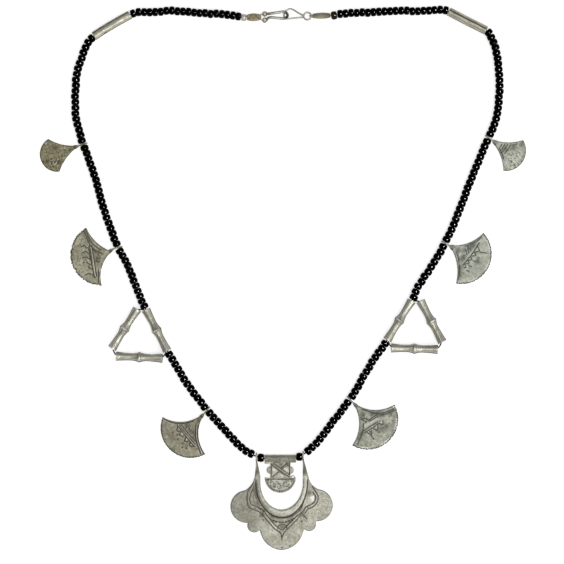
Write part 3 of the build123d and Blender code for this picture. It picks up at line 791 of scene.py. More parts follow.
def pierced_tab(reach, back, height, sheet, hole, around=12):
    """A tab that stands upright in the XZ plane, round at one end, with a hole at the origin."""
    radius = height / 2
    bend = np.linspace(np.pi / 2, 3 * np.pi / 2, 2 * around + 1)
    outline = [(back, z) for z in np.linspace(-radius, radius, around // 2)]
    outline += [(x, radius) for x in np.linspace(back, radius - reach, around)[1:-1]]
    outline += [(radius - reach + radius * np.cos(a), radius * np.sin(a)) for a in bend]
    outline += [(x, -radius) for x in np.linspace(radius - reach, back, around)[1:-1]]
    outline = np.array(outline)
    spokes = outline / np.linalg.norm(outline, axis=1)[:, None]
    soft, half = 0.12, sheet / 2
    outer = [(outline, half - soft, 0.0), (outline - soft * spokes, half, 0.0)]
    bore = [(spokes * (hole / 2 + soft), half, tarnish_and_shade), (spokes * hole / 2, half - soft, tarnish_and_shade)]
    loops = outer + bore + [(loop, -level, dark) for loop, level, dark in (outer + bore)[::-1]]
    points = np.concatenate([np.stack([loop[:, 0], np.full(len(loop), -level), loop[:, 1]], 1)
                             for loop, level, _ in loops])
    stain = np.repeat([dark for _, _, dark in loops], len(outline))
    return {"points": points, "faces": ring_faces(8, len(outline), True), "lie": points, "stain": stain}


def flat_turn(degrees):
    """The directions of a piece that is turned flat on the table."""
    turn = math.radians(degrees)
    c, s = math.cos(turn), math.sin(turn)
    return np.array([(c, s, 0), (-s, c, 0), (0, 0, 1.0)])


def tipped(points, axis, slope):
    """Points tipped about X or Y so that the free end of the piece meets the table."""
    x, y, z = points[..., 0], points[..., 1], points[..., 2]
    c, s = math.cos(slope), math.sin(slope)
    if axis == "y":
        return np.stack([x * c + z * s, y, z * c - x * s], -1)
    return np.stack([x, y * c - z * s, y * s + z * c], -1)


def fan_plan(cut, clasp_side, rows, columns):
    """A fan's blade as a flat grid of points, from its neck to its outer edge, and that edge."""
    neck_y = -clasp_side * cut["neck_aside"]
    share = np.linspace(0, 1, columns)[:, None]
    edges, corners = {}, {}
    for sign, half in ((clasp_side, cut["clasp_half"]), (-clasp_side, cut["pendant_half"])):
        corners[sign] = np.array([cut["corner_reach"], sign * half])
        hollow = (side_middle * cut["corner_reach"], sign * cut["fullness"] * half)
        edges[sign] = arc_through((neck_end, neck_y + sign * cut["neck_half"]), hollow, corners[sign], rows)
    brow = (cut["reach"], (corners[1][1] + corners[-1][1]) / 2)
    arc = arc_through(corners[-1], brow, corners[1], columns)
    chord = corners[-1] + share * (corners[1] - corners[-1])
    plan = edges[-1][:, None] * (1 - share) + edges[1][:, None] * share
    return plan + np.linspace(0, 1, rows)[:, None, None] ** 1.5 * (arc - chord), arc


def file_teeth(cut, plan, arc, around, clasp_side):
    """Teeth filed into the outer edge, which wear has left uneven: the new plan, how deep in a tooth
    each point is and how far from the edge it was."""
    bite = np.zeros(len(arc))
    for place in np.arange(0.9, around[-1] - 0.6, cut["tooth"]):
        centre = place + luck.uniform(-0.15, 0.15) * cut["tooth"]
        bite += luck.uniform(0.6, 1.0) * fading(around - centre, tooth_width)
    inward = np.array([(cut["corner_reach"] + neck_end) / 2, -clasp_side * cut["neck_aside"]]) - arc
    inward /= np.linalg.norm(inward, axis=1)[:, None]
    from_edge = np.linalg.norm(plan - arc[None], axis=2)
    held = fading(from_edge, tooth_fade) * bite[None]
    return plan + cut["bite"] * held[..., None] * inward[None], held, from_edge


def fan_face(cut, work, plan, around, held, from_edge):
    """What tools, filing and wear leave on a blade, with a painted highlight on the bevel of a dotted
    edge: its lift, its stain, its polish and highlight, and how far each point is from the border."""
    across, up = plan[..., 0], plan[..., 1]
    rows, columns = across.shape
    lift, stain, polish_and_highlight = tooled(across, up, work)
    lift = lift + hammered(across, up, fan_blows, blow_depth)
    for _ in range(cut["speckle"]):
        spot = plan[int(rows * luck.uniform(0.2, 0.97)), int(columns * luck.uniform(0.03, 0.97))]
        size, dark = luck.uniform(0.2, 0.5), luck.uniform(-0.5, 0.9)
        fleck = np.exp(-((across - spot[0]) ** 2 + (up - spot[1]) ** 2) / size ** 2)
        stain = np.maximum(stain, dark * fleck)
        polish_and_highlight = np.maximum(polish_and_highlight, -dark * fleck)
    rim = np.concatenate([plan[:, 0], plan[-1], plan[::-1, -1]])[::3]
    border = distance_to(across, up, rim)
    hollow_sides = [distance_to(across, up, plan[::3, side]) for side in (0, -1)]
    lift = lift - 0.16 * fading(border, 0.22)
    darkened = np.minimum(*hollow_sides) if cut["dots"] else border
    stain = np.maximum(stain, fading(darkened, 0.40) * (0.7 + 0.3 * np.sin(across * 1.3 + up)))
    stain = np.maximum(stain, np.clip(held * 1.8 * (0.3 if cut["dots"] else 1), 0, 1))
    if cut["dots"]:
        beat = ((around / cut["dots"]) % 1 - 0.5) * cut["dots"]
        dot = np.exp(-((beat[None] ** 2 + (from_edge - dot_inset) ** 2) / dot_size ** 2) ** 2)
        # Inside the dots the bevel gets a painted highlight, in stretches along the edge.
        bevel_highlight = cut["painted_bevel_highlight"] * np.clip(0.6 + 0.9 * np.sin(around * 0.55 + cut["aim"]), 0, 1)[None]
        lift = lift - 0.08 * dot
        polish_and_highlight = np.maximum(polish_and_highlight, bevel_highlight * fading(from_edge - bevel_highlight_inset, 0.42))
        stain = np.maximum(stain * (1 - 0.6 * bevel_highlight * fading(from_edge - bevel_highlight_inset, 0.35)), dot)
    return lift, stain, polish_and_highlight, border


def twisted_neck(neck_half, neck_y, columns):
    """A neck that twists from upright at the tab to flat at the blade: its face and its back."""
    share = np.linspace(0, 1, columns)
    turns = np.linspace(0, 1, neck_rows + 1)[:-1]
    width = tab_height + (2 * neck_half - tab_height) * turns
    lean = np.pi / 2 * (1 - turns)
    spread = width[:, None] * (share[None] - 0.5)
    spine = np.stack([neck_start + (neck_end - neck_start) * turns, neck_y * turns, 0 * turns], 1)
    sideways = np.stack([0 * lean, np.cos(lean), np.sin(lean)], 1)
    upright = np.stack([0 * lean, -np.sin(lean), np.cos(lean)], 1)
    strip = spine[:, None] + spread[..., None] * sideways[:, None]
    rounded = fan_sheet / 2 - 0.12 * (abs(2 * share - 1) ** 6)
    thick = upright[:, None] * rounded[None, :, None]
    return strip + thick, strip - thick


def fan(name, cut, work, finish, rows, columns):
    """Makes one fan and lays it on the thread with its outer edge down on the table."""
    clasp_side = 1 if "right" in name else -1
    plan, arc = fan_plan(cut, clasp_side, rows, columns)
    around = np.concatenate([[0], np.cumsum(np.linalg.norm(np.diff(arc, axis=0), axis=1))])
    plan, held, from_edge = file_teeth(cut, plan, arc, around, clasp_side)
    lift, stain, polish_and_highlight, border = fan_face(cut, work, plan, around, held, from_edge)
    half_sheet = fan_sheet / 2
    front = np.stack([plan[..., 0], plan[..., 1], half_sheet + lift], -1)
    back = np.stack([plan[..., 0], plan[..., 1], -half_sheet + 0.1 * fading(border, 0.2)], -1)
    neck_front, neck_back = twisted_neck(cut["neck_half"], -clasp_side * cut["neck_aside"], columns)
    front, back = np.concatenate([neck_front, front]), np.concatenate([neck_back, back])
    bare = np.zeros((neck_rows, columns))
    blade = on_sheet(front, back, front + luck.uniform(0, 60, 3),
                     np.concatenate([bare + 0.35, stain]), np.concatenate([bare, polish_and_highlight * (1 - stain)]))
    tab = pierced_tab(tab_reach, neck_start + 0.1, tab_height, fan_sheet, tab_hole)
    slope = math.asin((thread_level - half_sheet) / cut["reach"])
    shells = [set_down({**shell, "points": tipped(shell["points"], "y", slope)},
                       on_thread(fan_at[name]), flat_turn(cut["aim"])) for shell in (blade, tab)]
    make_piece(f"hammered_{name}", shells, finish, name, 38)


# How each fan is cut. Aim is in degrees, reach goes to the brow and to the corners, and the half
# widths are towards the clasp, towards the pendant and of the neck, which may bend aside. Fullness
# is that of its hollow sides. Its edge has teeth of a pitch and a bite. Some have a row of punched
# dots along it, of a pitch, with a painted highlight of a strength on the bevel beside them.
# Speckle counts its flecks.
fan_sizes = ("aim", "reach", "corner_reach", "clasp_half", "pendant_half", "neck_half", "neck_aside",
             "fullness", "tooth", "bite", "dots", "painted_bevel_highlight", "speckle")
fan_cuts = {
    "fan_left_1": (-161.5, 22.9, 15.9, 8.2, 9.1, 1.0, 0.0, 0.59, 3.1, 0.10, 0, 0, 75),
    "fan_left_2": (-165.0, 25.1, 13.1, 13.8, 16.3, 0.9, 1.0, 0.41, 1.3, 1.05, 0, 0, 12),
    "fan_left_3": (-131.0, 27.5, 17.4, 14.5, 13.9, 0.9, 0.0, 0.44, 1.6, 0.25, 1.14, 0.25, 14),
    "fan_right_3": (-46.0, 28.8, 17.5, 14.3, 15.2, 0.9, 0.0, 0.45, 2.7, 0.40, 1.35, 0.8, 14),
    "fan_right_2": (-28.5, 25.2, 14.6, 13.8, 15.1, 1.5, 0.0, 0.51, 2.3, 0.35, 1.14, 0.7, 14),
    "fan_right_1": (-32.5, 21.1, 15.4, 8.5, 9.8, 1.4, 0.2, 0.60, 2.6, 0.12, 0, 0, 70),
}

# Each fan's chased work, in millimetres from the thread and to the left of its aim
fan_work = {
    "fan_left_1": {
        "pit": [[(17.2, -5.3)], [(13.3, -5)], [(14.4, -3.3), (15.3, -3.1)], [(14.3, -1)], [(16, -0.8)],
                [(11.5, -2.8)], [(13.5, -0.3)], [(9.5, 0.9)], [(7.2, 0)], [(6.2, 0.6)], [(4.7, 0.6)],
                [(10, -2.6)], [(10.4, -1.4)], [(20.2, 4.6)], [(17.1, 6.6)], [(12, 1.4)], [(10.5, 0.9)],
                [(17.4, -0.7)], [(12, -4.7)], [(14.9, -5.3)], [(18.9, -2.3)]],
        "punch": [[(13.8, 2.1)], [(17.7, 1.6)], [(18.3, 3.9)], [(19.6, 5.3)], [(18, 5.4)], [(16.8, 3.6)],
                  [(15.6, 8.6)]],
        "ridge": [[(14.5, 2.7), (16, 4.3), (17.6, 4.9)]],
        "liner": [[(14.8, 3.5), (15.5, 5.3)]],
        "boss": [[(17.4, 3.7)], [(19.3, 3.3)], [(15.7, 5.7)], [(10, -1.1)]],
        "shade": [[(14.1, 4.6)], [(20, 2.1)], [(7.4, 0.6)], [(14, -3)]],
    },
    "fan_left_2": {
        "liner": [[(14.5, -12.3), (14, -7.2), (13, -3.8), (11.1, -1.1), (8.5, 1.1)],
                  [(13.3, -12.9), (13.2, -8.3), (11.7, -4.4), (8.9, -1)],
                  [(13.9, -5), (14.5, -0.5), (15.3, 5.3), (15.6, 10.5)],
                  [(12.8, -4.4), (13.4, 2.3), (13.9, 6.6), (14.4, 10.9)], [(12.8, 8.3), (14.3, 14.6)]],
        "ridge": [[(13.3, -4.9), (13.6, -0.2), (14.5, 5.8), (14.9, 10.7)], [(12.1, 8), (13.7, 14.5)]],
        "scribe": [[(18.1, -5.2), (16.4, -5.3), (15.2, -3.8), (14.6, -4.1)],
                   [(18.5, -2.1), (16.7, -2.3), (15.1, -0.6)], [(18.8, 0.3), (16.8, 0.5), (15.4, 2.3)],
                   [(17.5, 3), (15.9, 4.7)], [(17.2, 5.4), (16, 7)],
                   [(19.6, 9), (17.6, 8.7), (16.1, 10.1), (15.4, 11.5)], [(12.1, 2.1), (10.3, 2.7)],
                   [(12.7, 3.3), (11.7, 4.7)], [(10.8, 0.8), (10.3, 1.9)], [(14.8, -3.7), (14.7, -1.1)],
                   [(15, -0.3), (15.1, 1.6)], [(12.9, -2.5), (11.5, -0.6)]],
        "punch": [[(18.9, 2.6)], [(16.9, 6.1)], [(11.2, 4.2)]],
        "boss": [[(17.3, -3.7)], [(10.3, 1.3)], [(16.6, 2.1)]],
        "shade": [[(10.4, 0)], [(11.8, 2.8)], [(14.3, -11.4), (13.5, -7.1)], [(12.5, 10.1)]],
    },
    "fan_left_3": {
        "liner": [[(17.7, -13.1), (16.9, -10.6), (15.6, -7.7), (12.1, -3.8), (8.9, -1.7)],
                  [(15.6, -6.4), (17, 0.4), (18.1, 6.7)], [(15.1, -5.3), (16, 0.4), (16.9, 6.3)],
                  [(14.3, -4.6), (15.3, 1.5), (15.8, 5.9)],
                  [(8.9, 0.3), (11.6, 2.3), (14.8, 5.3), (16.4, 7.6), (18.8, 12)],
                  [(8.9, 1.6), (13.2, 5.1), (16, 9.2), (17.9, 13.3)]],
        "ridge": [[(15.4, -6), (16.4, 0.4), (17.5, 6.5)], [(14.7, -5), (15.7, 0.9), (16.3, 6.1)],
                  [(9.4, 1.3), (13, 4.2), (15.9, 8.1), (18.4, 12.6)]],
        "scribe": [[(15.9, -5.8), (17.9, -4.5), (16.9, -3.1)], [(17, -2.7), (18.6, -2.3), (17.9, -0.2)],
                   [(17.3, 0.7), (19.3, 1.9), (18.3, 3.2)], [(17.8, 4.2), (19.4, 5.3), (18, 7.1)]],
        "punch": [[(20.9, -1.6)], [(20.9, 1.7)], [(21.4, 4.7)], [(13.8, -2.1)], [(13, -0.9)],
                  [(19.4, -3.1)], [(22.5, 2.8)], [(19.9, -5.5)]],
        "boss": [[(12.4, -0.2)], [(14.5, 2.4)], [(17.6, -2.1)], [(18.2, 5.1)], [(18.1, 1.9)]],
        "shade": [[(12.4, -2.1)], [(13, 2.2)], [(13.5, 0.4)], [(6.4, 0.3)]],
    },
    "fan_right_3": {
        "gloss": [[(15.1, -3.6), (15.5, -0.3), (16.2, 2.6)], [(18.2, -3.8), (18.3, -1.9), (18.9, -0.1)]],
        "liner": [[(14.1, -0.7), (14.6, 2.6), (15, 4.5)], [(14.8, -0.6), (15.4, 2.1), (15.8, 4.1)],
                  [(16.1, -6.3), (16.7, -3.2), (17.4, 0.1), (17.8, 2.3)],
                  [(17.1, -6.5), (17.9, -3.2), (18.4, -0.2), (18.6, 1.9)],
                  [(13.5, -3.6), (15.7, -6.1), (17.3, -9.3), (19, -12.9)],
                  [(7.7, 0.9), (10.8, 2.5), (13.4, 4), (15.6, 6.2), (17.4, 9.1), (18.8, 12.9)],
                  [(16.3, 5.5), (18, 8.5), (19.5, 12.6)]],
        "scribe": [[(17.7, -5.3), (20, -4.7), (18.6, -2.8)], [(18.3, -1.9), (20.7, -1), (18.9, 1.3)],
                   [(19, 2.1), (20.5, 2.9), (19, 4.7)], [(20, -4.7), (21.6, -5.1), (22.8, -5.3)],
                   [(11.2, -3.1), (11.6, -1.7), (12.3, -1), (13.6, -0.8)], [(19, -4.2), (18.4, -4)]],
        "ridge": [[(14.6, 0.2), (15.3, 3.9)], [(16.9, -9.6), (18.1, -12)]],
        "punch": [[(12.3, -2.4)], [(13.6, -2.1)], [(12.7, 3)], [(13.3, 2.1)], [(18.7, -3.9)],
                  [(21.8, -1)], [(10.4, -2.5)]],
        "boss": [[(11.3, 0.3), (11.6, -0.8)], [(14.1, 3.6)], [(23.2, -5.6)], [(19.3, 3.3)],
                 [(19.9, -1.7)]],
        "pit": [[(20, 9.7)], [(22.6, 8.1)], [(22.3, 5.8)], [(21.9, -9.9)], [(23.5, -8.2)], [(18.1, 3.2)]],
        "shade": [[(21.4, 1.5)], [(22.6, 3.7)], [(10.2, -0.7)], [(12.5, 3.1), (16.9, 6.4)], [(18.4, 9.3)],
                  [(16.4, -7.8), (17.8, -10.3)]],
    },
    "fan_right_2": {
        "ridge": [[(12.3, -5.1), (13, -0.8), (13.9, 4.1), (14.5, 8.6), (15.1, 10.5)]],
        "liner": [[(13.1, -5.7), (14, -1.6), (14.7, 2.7), (15, 8.4)],
                  [(9.7, 3.5), (11.8, 6.1), (13.6, 8.8), (14.5, 11.9)],
                  [(7.4, -1.3), (9.5, -3.4), (11, -5.4)], [(11.4, -6), (12.9, -8.2), (14.6, -13.1)],
                  [(3.1, 0.1), (5.5, 0.5)]],
        "scribe": [[(15, 6.4), (17, 5), (15.6, 3.4)], [(15.1, 3.1), (16.5, 2.1), (15.1, 0.9)],
                   [(14.7, 0.3), (15.7, -0.9), (14.5, -1.7)], [(14.2, -2), (15.4, -3), (14.1, -4.1)],
                   [(13.7, -4.4), (15.2, -5.7), (13.9, -6.1)], [(17.8, 4.5), (21.1, 5.8)],
                   [(16.5, -0.9), (18.1, -0.8)], [(16, -4), (17.5, -3.9)], [(16.2, -6.7), (17.8, -6.8)],
                   [(10.7, 4.1), (12.8, 1.4)], [(10.6, 2.2), (12.5, 0.2)], [(10.9, -1.6), (12.4, -2.4)],
                   [(11.8, 3.9), (13.2, 3.1)]],
        "punch": [[(18.4, 1.8)], [(10.9, 4.3)]],
        "boss": [[(15.7, 4.5)], [(15.1, 2)], [(14.7, -0.7)], [(11.6, 1.3)], [(9, -0.4), (9.3, -1.5)],
                 [(14.3, -3.1)]],
        "shade": [[(10.6, 1.7)], [(11.8, 3.4), (13, 5.8)], [(11, -3.1), (11.7, -1.2)],
                  [(12.3, -7), (14, -10.6)], [(18.7, 0)], [(7.5, 0)]],
    },
    "fan_right_1": {
        "liner": [[(7.3, 0.9), (7.5, -1.8)], [(8.6, 1.6), (8.8, -0.5), (8.6, -2)],
                  [(10.1, 2.5), (9.8, -0.4), (9.5, -2.9)], [(11.3, 3.2), (11.3, 0.7), (11.1, -2.1)],
                  [(12.1, 3.4), (13.7, 5)], [(7.8, -1.6), (11, -3.7), (12.2, -4.8)]],
        "punch": [[(9.8, -0.2)], [(8.8, -0.7)]],
        "pit": [[(13.1, -1.1)], [(14.4, -1.1)], [(15.1, -0.1)], [(16.2, 2.1)], [(17.7, 4.2)],
                [(16.7, 0.1)], [(17, -1.4)], [(19.4, 1.3)], [(15.3, -2.6)], [(14.5, -3.9)],
                [(15.5, -3.7), (16.4, -3.7)], [(15.6, -4.8)], [(17.1, -5.7)], [(18, -7.6)],
                [(15.9, -7.8)], [(19.2, -6.6)], [(14.9, 3.7)], [(17.7, 1.7)], [(18, -4)], [(19.4, -2.7)]],
        "boss": [[(18.8, 0.7)], [(19.6, -1.1)], [(18.7, -3.1)], [(18.5, -5.4)], [(14.3, -5.6)],
                 [(17.4, 6.1)], [(14.4, -1.9)], [(17.1, -4.4)], [(18, -1.1)], [(9.1, 0.7)]],
        "scribe": [[(21.5, -1), (21, -3.4)], [(22.5, -0.9), (22.1, -3.1)]],
        "shade": [[(16, 6.3)], [(13.3, 2.7)], [(9.8, 0.5)]],
    },
}
fan_silvers = {
    "fan_left_1": old_silver("khaki_silver", (0.45, 0.41, 0.26), (0.28, 0.25, 0.15), (0.05, 0.045, 0.03)),
    "fan_left_2": old_silver("warm_silver", (0.53, 0.51, 0.38), (0.34, 0.32, 0.23), (0.055, 0.05, 0.035)),
    "fan_left_3": old_silver("olive_silver", (0.40, 0.38, 0.29), (0.24, 0.22, 0.16), (0.05, 0.045, 0.03)),
    "fan_right_3": old_silver("grey_silver", (0.40, 0.40, 0.34), (0.25, 0.26, 0.20), (0.055, 0.055, 0.045)),
    "fan_right_2": old_silver("green_silver", (0.46, 0.48, 0.41), (0.31, 0.32, 0.26), (0.055, 0.06, 0.045)),
    "fan_right_1": old_silver("cool_silver", (0.50, 0.51, 0.43), (0.33, 0.35, 0.28), (0.05, 0.055, 0.045)),
}
for name, sizes in fan_cuts.items():
    rows, columns = (96, 145) if name.endswith("_1") else (128, 185)
    fan(name, dict(zip(fan_sizes, sizes)), fan_work[name], fan_silvers[name], rows, columns)

# Centre pendant: a tube rolled from silver sheet whose flange hangs down as a lip, with a plaque
# and a half disc soldered under it. Wires are soldered across the plaque, and the half disc is
# stippled with a punch.
bail_width = 4.15
bail_wall = 0.5
bail_lap = 0.12
bail_seam = upward - 0.9
lip_left, lip_right = -7.8, 4.4
lip_sheet = 0.5
lip_level = 1.05
lip_blows = 4
plaque_width = 10.1
plaque_top = 1.4
plaque_drop = 9.6
plaque_sheet = 0.7
plaque_blows = 16
side_lobe_radius = 1.8
side_lobe_drop = 5.9
disc_radius = 7.8
disc_sag = 0.35
disc_blows = 26
disc_blow_depth = 0.09
beading_radius = 7.0
stipple_radius = 6.6
stipple_count = 100
pendant_silver = old_silver("pendant_silver", (0.53, 0.53, 0.45), (0.34, 0.33, 0.26), (0.07, 0.057, 0.036))


def flat_grid(near, far, rows):
    """A grid of points from one line of points to another."""
    share = np.linspace(0, 1, rows)[:, None, None]
    return np.asarray(near)[None] * (1 - share) + np.asarray(far)[None] * share


def flat_plate(plan, sheet, work, blows, dent=0.05, soft=0.14):
    """A plate with soft edges from a grid of flat points, with what tools and wear leave on it."""
    across, up = plan[..., 0], plan[..., 1]
    lift, stain, polish_and_highlight = tooled(across, up, work)
    lift = lift + hammered(across, up, blows, dent)
    border = np.minimum.reduce([distance_to(across, up, side[::2]) for side in
                                (plan[0], plan[-1], plan[:, 0], plan[:, -1])])
    lift = lift - soft * fading(border, 0.2)
    front = np.stack([across, up, sheet / 2 + lift], -1)
    back = np.stack([across, up, np.full_like(across, -sheet / 2)], -1)
    return on_sheet(front, back, front + luck.uniform(0, 60, 3), stain, polish_and_highlight * (1 - stain))


def wire(points, width, level, dark):
    """A round wire through flat points at a level, a straight one in short steps."""
    line = np.array([(x, y, level) for x, y in points])
    if len(points) == 2:
        steps = max(2, int(np.linalg.norm(line[-1] - line[0]) / 0.5))
        line = line[0] + np.linspace(0, 1, steps)[:, None] * (line[1] - line[0])
    return {**tube_along(line, width / 2, 8), "stain": dark, "polish_and_highlight": 0.25}


plaque_work = {
    "liner": [[(-4.5, -2.5), (-4.5, -9.2)], [(4.6, -2.5), (4.6, -9.2)], [(-3.5, -2.3), (5.8, -9.1)],
              [(-4.2, -2.9), (2.2, -7.9), (5.0, -9.5)], [(4.1, -2.6), (1.1, -5.1)],
              [(-0.8, -6.7), (-3.3, -9.0)], [(3.5, -2.2), (0.5, -4.7)], [(-1.4, -7.1), (-3.9, -9.5)]],
    "shade": [[(0.4, -3.0)], [(3.9, -3.4)]],
    "rub": [[(-2.8, -5.8)], [(3.2, -5.2)], [(0.8, -8.8)]],
    "punch": [[(-5.2, -4.0)], [(5.2, -4.0)], [(-5.2, -7.8)], [(5.2, -7.8)]],
}
disc_work = {
    "scribe": [[(-7.2, -10.5), (-2.0, -10.4), (3.0, -10.5), (6.4, -10.3)]],
    "punch": [[(beading_radius * math.cos(a), -plaque_drop + beading_radius * math.sin(a))]
              for a in np.radians(np.arange(192, 350, 7.5))] + [[(-6.2, -10.9)], [(-4.8, -11.3)]],
    "rub": [[(2.4, -13.8)], [(-1.6, -15.2)], [(-4.0, -12.6)], [(5.2, -12.4)], [(0.5, -12.0)],
            [(3.0, -15.4)]],
    "boss": [[(-3.0, -12.6)], [(0.8, -12.0)], [(4.6, -12.4)], [(-1.0, -14.6)], [(2.8, -15.6)],
             [(6.0, -11.6)]],
}

# The wires soldered across the plaque: two ends of each, its width and how dark it is
plaque_wires = [([(-3.9, -2.4), (5.5, -9.3)], 0.55, 0.0), ([(-4.7, -3.2), (2.3, -8.7)], 0.35, 0.3),
                ([(3.8, -2.4), (0.9, -4.9)], 0.5, 0.2), ([(-1.1, -6.9), (-3.6, -9.3)], 0.45, 0.2),
                ([(-4.85, -1.8), (-4.85, -9.3)], 0.4, 0.0), ([(4.95, -1.8), (4.95, -9.3)], 0.4, 0.0)]

# Where the bail tube is dented, and dark spots in its four deepest dents
bail_dents = [(-5.3, upward - 0.2, 0.12, 0.4), (-0.3, upward - 0.25, 0.12, 0.4),
              (4.1, upward + 0.1, 0.12, 0.4), (7.2, upward - 0.6, 0.15, 0.5),
              (-3.0, upward + 0.5, 0.05, 2.0), (3.0, upward - 0.4, 0.05, 2.2)]
bail_spots = [(-5.3, -0.4), (-0.3, -0.5), (4.1, 0.1), (7.2, -1.2)]


def plaque():
    """A plaque with a small round lobe on each side."""
    rows, columns = 80, 97
    down = np.linspace(-plaque_top, -plaque_drop - 0.1, rows)
    lobes = np.sqrt(np.clip(side_lobe_radius ** 2 - (down + side_lobe_drop) ** 2, 0, None))
    half = plaque_width / 2 + lobes
    share = np.linspace(-1, 1, columns)
    plan = np.stack([half[:, None] * share[None], np.repeat(down[:, None], columns, axis=1)], -1)
    return flat_plate(plan, plaque_sheet, plaque_work, plaque_blows)


def half_disc():
    """A half disc under the plaque, stippled inside a row of punched beads along its arc."""
    columns = 129
    share = np.linspace(0, 1, columns)
    top = np.stack([disc_radius * (2 * share - 1), np.full(columns, -plaque_drop)], 1)
    top[:, 1] -= disc_sag * np.sin(np.pi * share) ** 0.5
    bend = np.radians(184 + 172 * share)
    arc = np.stack([disc_radius * np.cos(bend), -plaque_drop + disc_radius * np.sin(bend)], 1)
    stipple = zip(luck.uniform(-7, 7, stipple_count), luck.uniform(-16.8, -10.5, stipple_count))
    pits = [[(x, y)] for x, y in stipple if math.hypot(x, y + plaque_drop) < stipple_radius]
    return flat_plate(flat_grid(top, arc, 64), plaque_sheet, {"pit": pits, **disc_work}, disc_blows,
                      disc_blow_depth)


def bail():
    """The tube on the thread: its edges lap at the back, and dirt sits in its dents."""
    half, bore = bail_length / 2, bail_width / 2 - bail_wall
    tube = rolled(soft_ends(bail_length, bail_width / 2, 0.16), [(half, bore), (-half, bore)], 56,
                  bail_seam, bail_lap, bail_dents)
    x, y, z = tube["points"].T
    spots = sum(np.exp(-((x - spot_x) ** 2 + (y - spot_y) ** 2) / 0.3 ** 2) * (z > 0)
                for spot_x, spot_y in bail_spots)
    tube["stain"] = np.clip(np.maximum(tube["stain"] * 0.7, 0.3) + 0.7 * spots, 0, 1)
    return tube


def bail_lip():
    """The flange of the bail tube, which comes down over the plaque as a lip that narrows."""
    along = np.linspace(lip_left, lip_right, 65)
    plan = flat_grid([(x, -1.2) for x in along],
                     [(x, -2.5 + 0.75 * (x - lip_left) / (lip_right - lip_left)) for x in along], 14)
    lip = flat_plate(plan, lip_sheet, {"shade": [[(-2.0, -2.0)]]}, lip_blows)
    return {**lip, "points": lip["points"] + [0, 0, lip_level]}


def centre_pendant():
    """The plaque with its half disc and wires, tipped down to the table, and the tube they hang on."""
    shells = [plaque(), half_disc()]
    level = plaque_sheet / 2
    shells += [wire(line, width, level + 0.12, dark) for line, width, dark in plaque_wires]
    curl = [(6.3 + 0.85 * math.cos(a), -9.35 + 0.75 * math.sin(a))
            for a in np.radians(np.arange(-60, 215, 15))]
    shells.append(wire(curl, 0.5, level + 0.1, 0.1))
    slope = math.asin((thread_level - level) / (plaque_drop + disc_radius))
    shells = [{**shell, "points": tipped(shell["points"], "x", slope)} for shell in shells]
    tube, lip = bail(), bail_lip()
    return shells + [{**tube, "lie": tube["lie"] + luck.uniform(0, 60, 3)}, lip]


bail_place, bail_axes = chord_at(bail_at, bail_length)
make_piece("plaque_pendant", [set_down(shell, bail_place, bail_axes) for shell in centre_pendant()],
           pendant_silver, "centre_pendant", 38)

# Main pendant: one thick sheet of silver sawn to five lobes round a pointed opening. A raised rim
# follows the opening, two arms narrow and twist into pierced ears, and the face is chased with an
# ogee of doubled lines, dots and lozenges.
pendant_width = 51.2
pendant_drop = 47.6
pendant_sheet = 0.8
pendant_aside = 0.9
opening_half = 10.6
opening_depth = 13.6
rim_half = 12.8
rim_depth = 17.4
rim_rise = 0.42
rim_fade = 6.0
pendant_blows = 150
pendant_blow_size = 3.0
ear_height = 2.8
ear_reach = 1.9
ear_hole = 1.9
twist_start = 2.2
arm_foot = 10.5
arm_width = 2.8
arm_waist = 0.9


def pendant_outline(side):
    """Half of the outline from the arm down to the point at the bottom, on one side. Its marks are
    shares of the half width and the drop, and the left side's lobes sit a little lower."""
    marks = {"shoulder": (0.575, 0.295), "hip": (0.715, 0.358), "side_lobe": (1.0, 0.52),
             "notch": (0.66, 0.695), "small_lobe": (0.64, 0.775), "inner_notch": (0.44, 0.775),
             "centre_lobe": (0.335, 0.905), "point": (0.0, 1.0)}
    if side < 0:
        marks.update({"hip": (0.715, 0.370), "side_lobe": (1.0, 0.542), "notch": (0.66, 0.712),
                      "small_lobe": (0.64, 0.787), "inner_notch": (0.43, 0.787)})
    spots = {name: np.array([x * pendant_width / 2, -y * pendant_drop]) for name, (x, y) in marks.items()}
    arm = np.array([opening_half + arm_width, -arm_foot])
    shoulder = smooth_run(np.array([arm, spots["shoulder"], spots["hip"]]),
                          unit((0.22, -1)), unit((1, -0.62)), 0.2)
    lobe = arc_through(spots["hip"], spots["side_lobe"], spots["notch"], 110)
    small = arc_through(spots["notch"], spots["small_lobe"], spots["inner_notch"], 44)
    centre = smooth_run(np.array([spots["inner_notch"], spots["centre_lobe"], spots["point"]]),
                        unit((-0.3, -1)), unit((-1, -0.04)), 0.2)
    return np.concatenate([shoulder, lobe[1:], small[1:], centre[1:]]) * [side, 1]


def opening_point(outside):
    """The place on the opening's edge that belongs to a place on the outline."""
    x, y = outside
    if y > -opening_depth:
        return (math.copysign(opening_half, x), y)
    turn = math.atan2(y + opening_depth, x)
    spoke = 1 / math.hypot(math.cos(turn) / opening_half, math.sin(turn) / opening_depth)
    return (spoke * math.cos(turn), spoke * math.sin(turn) - opening_depth)


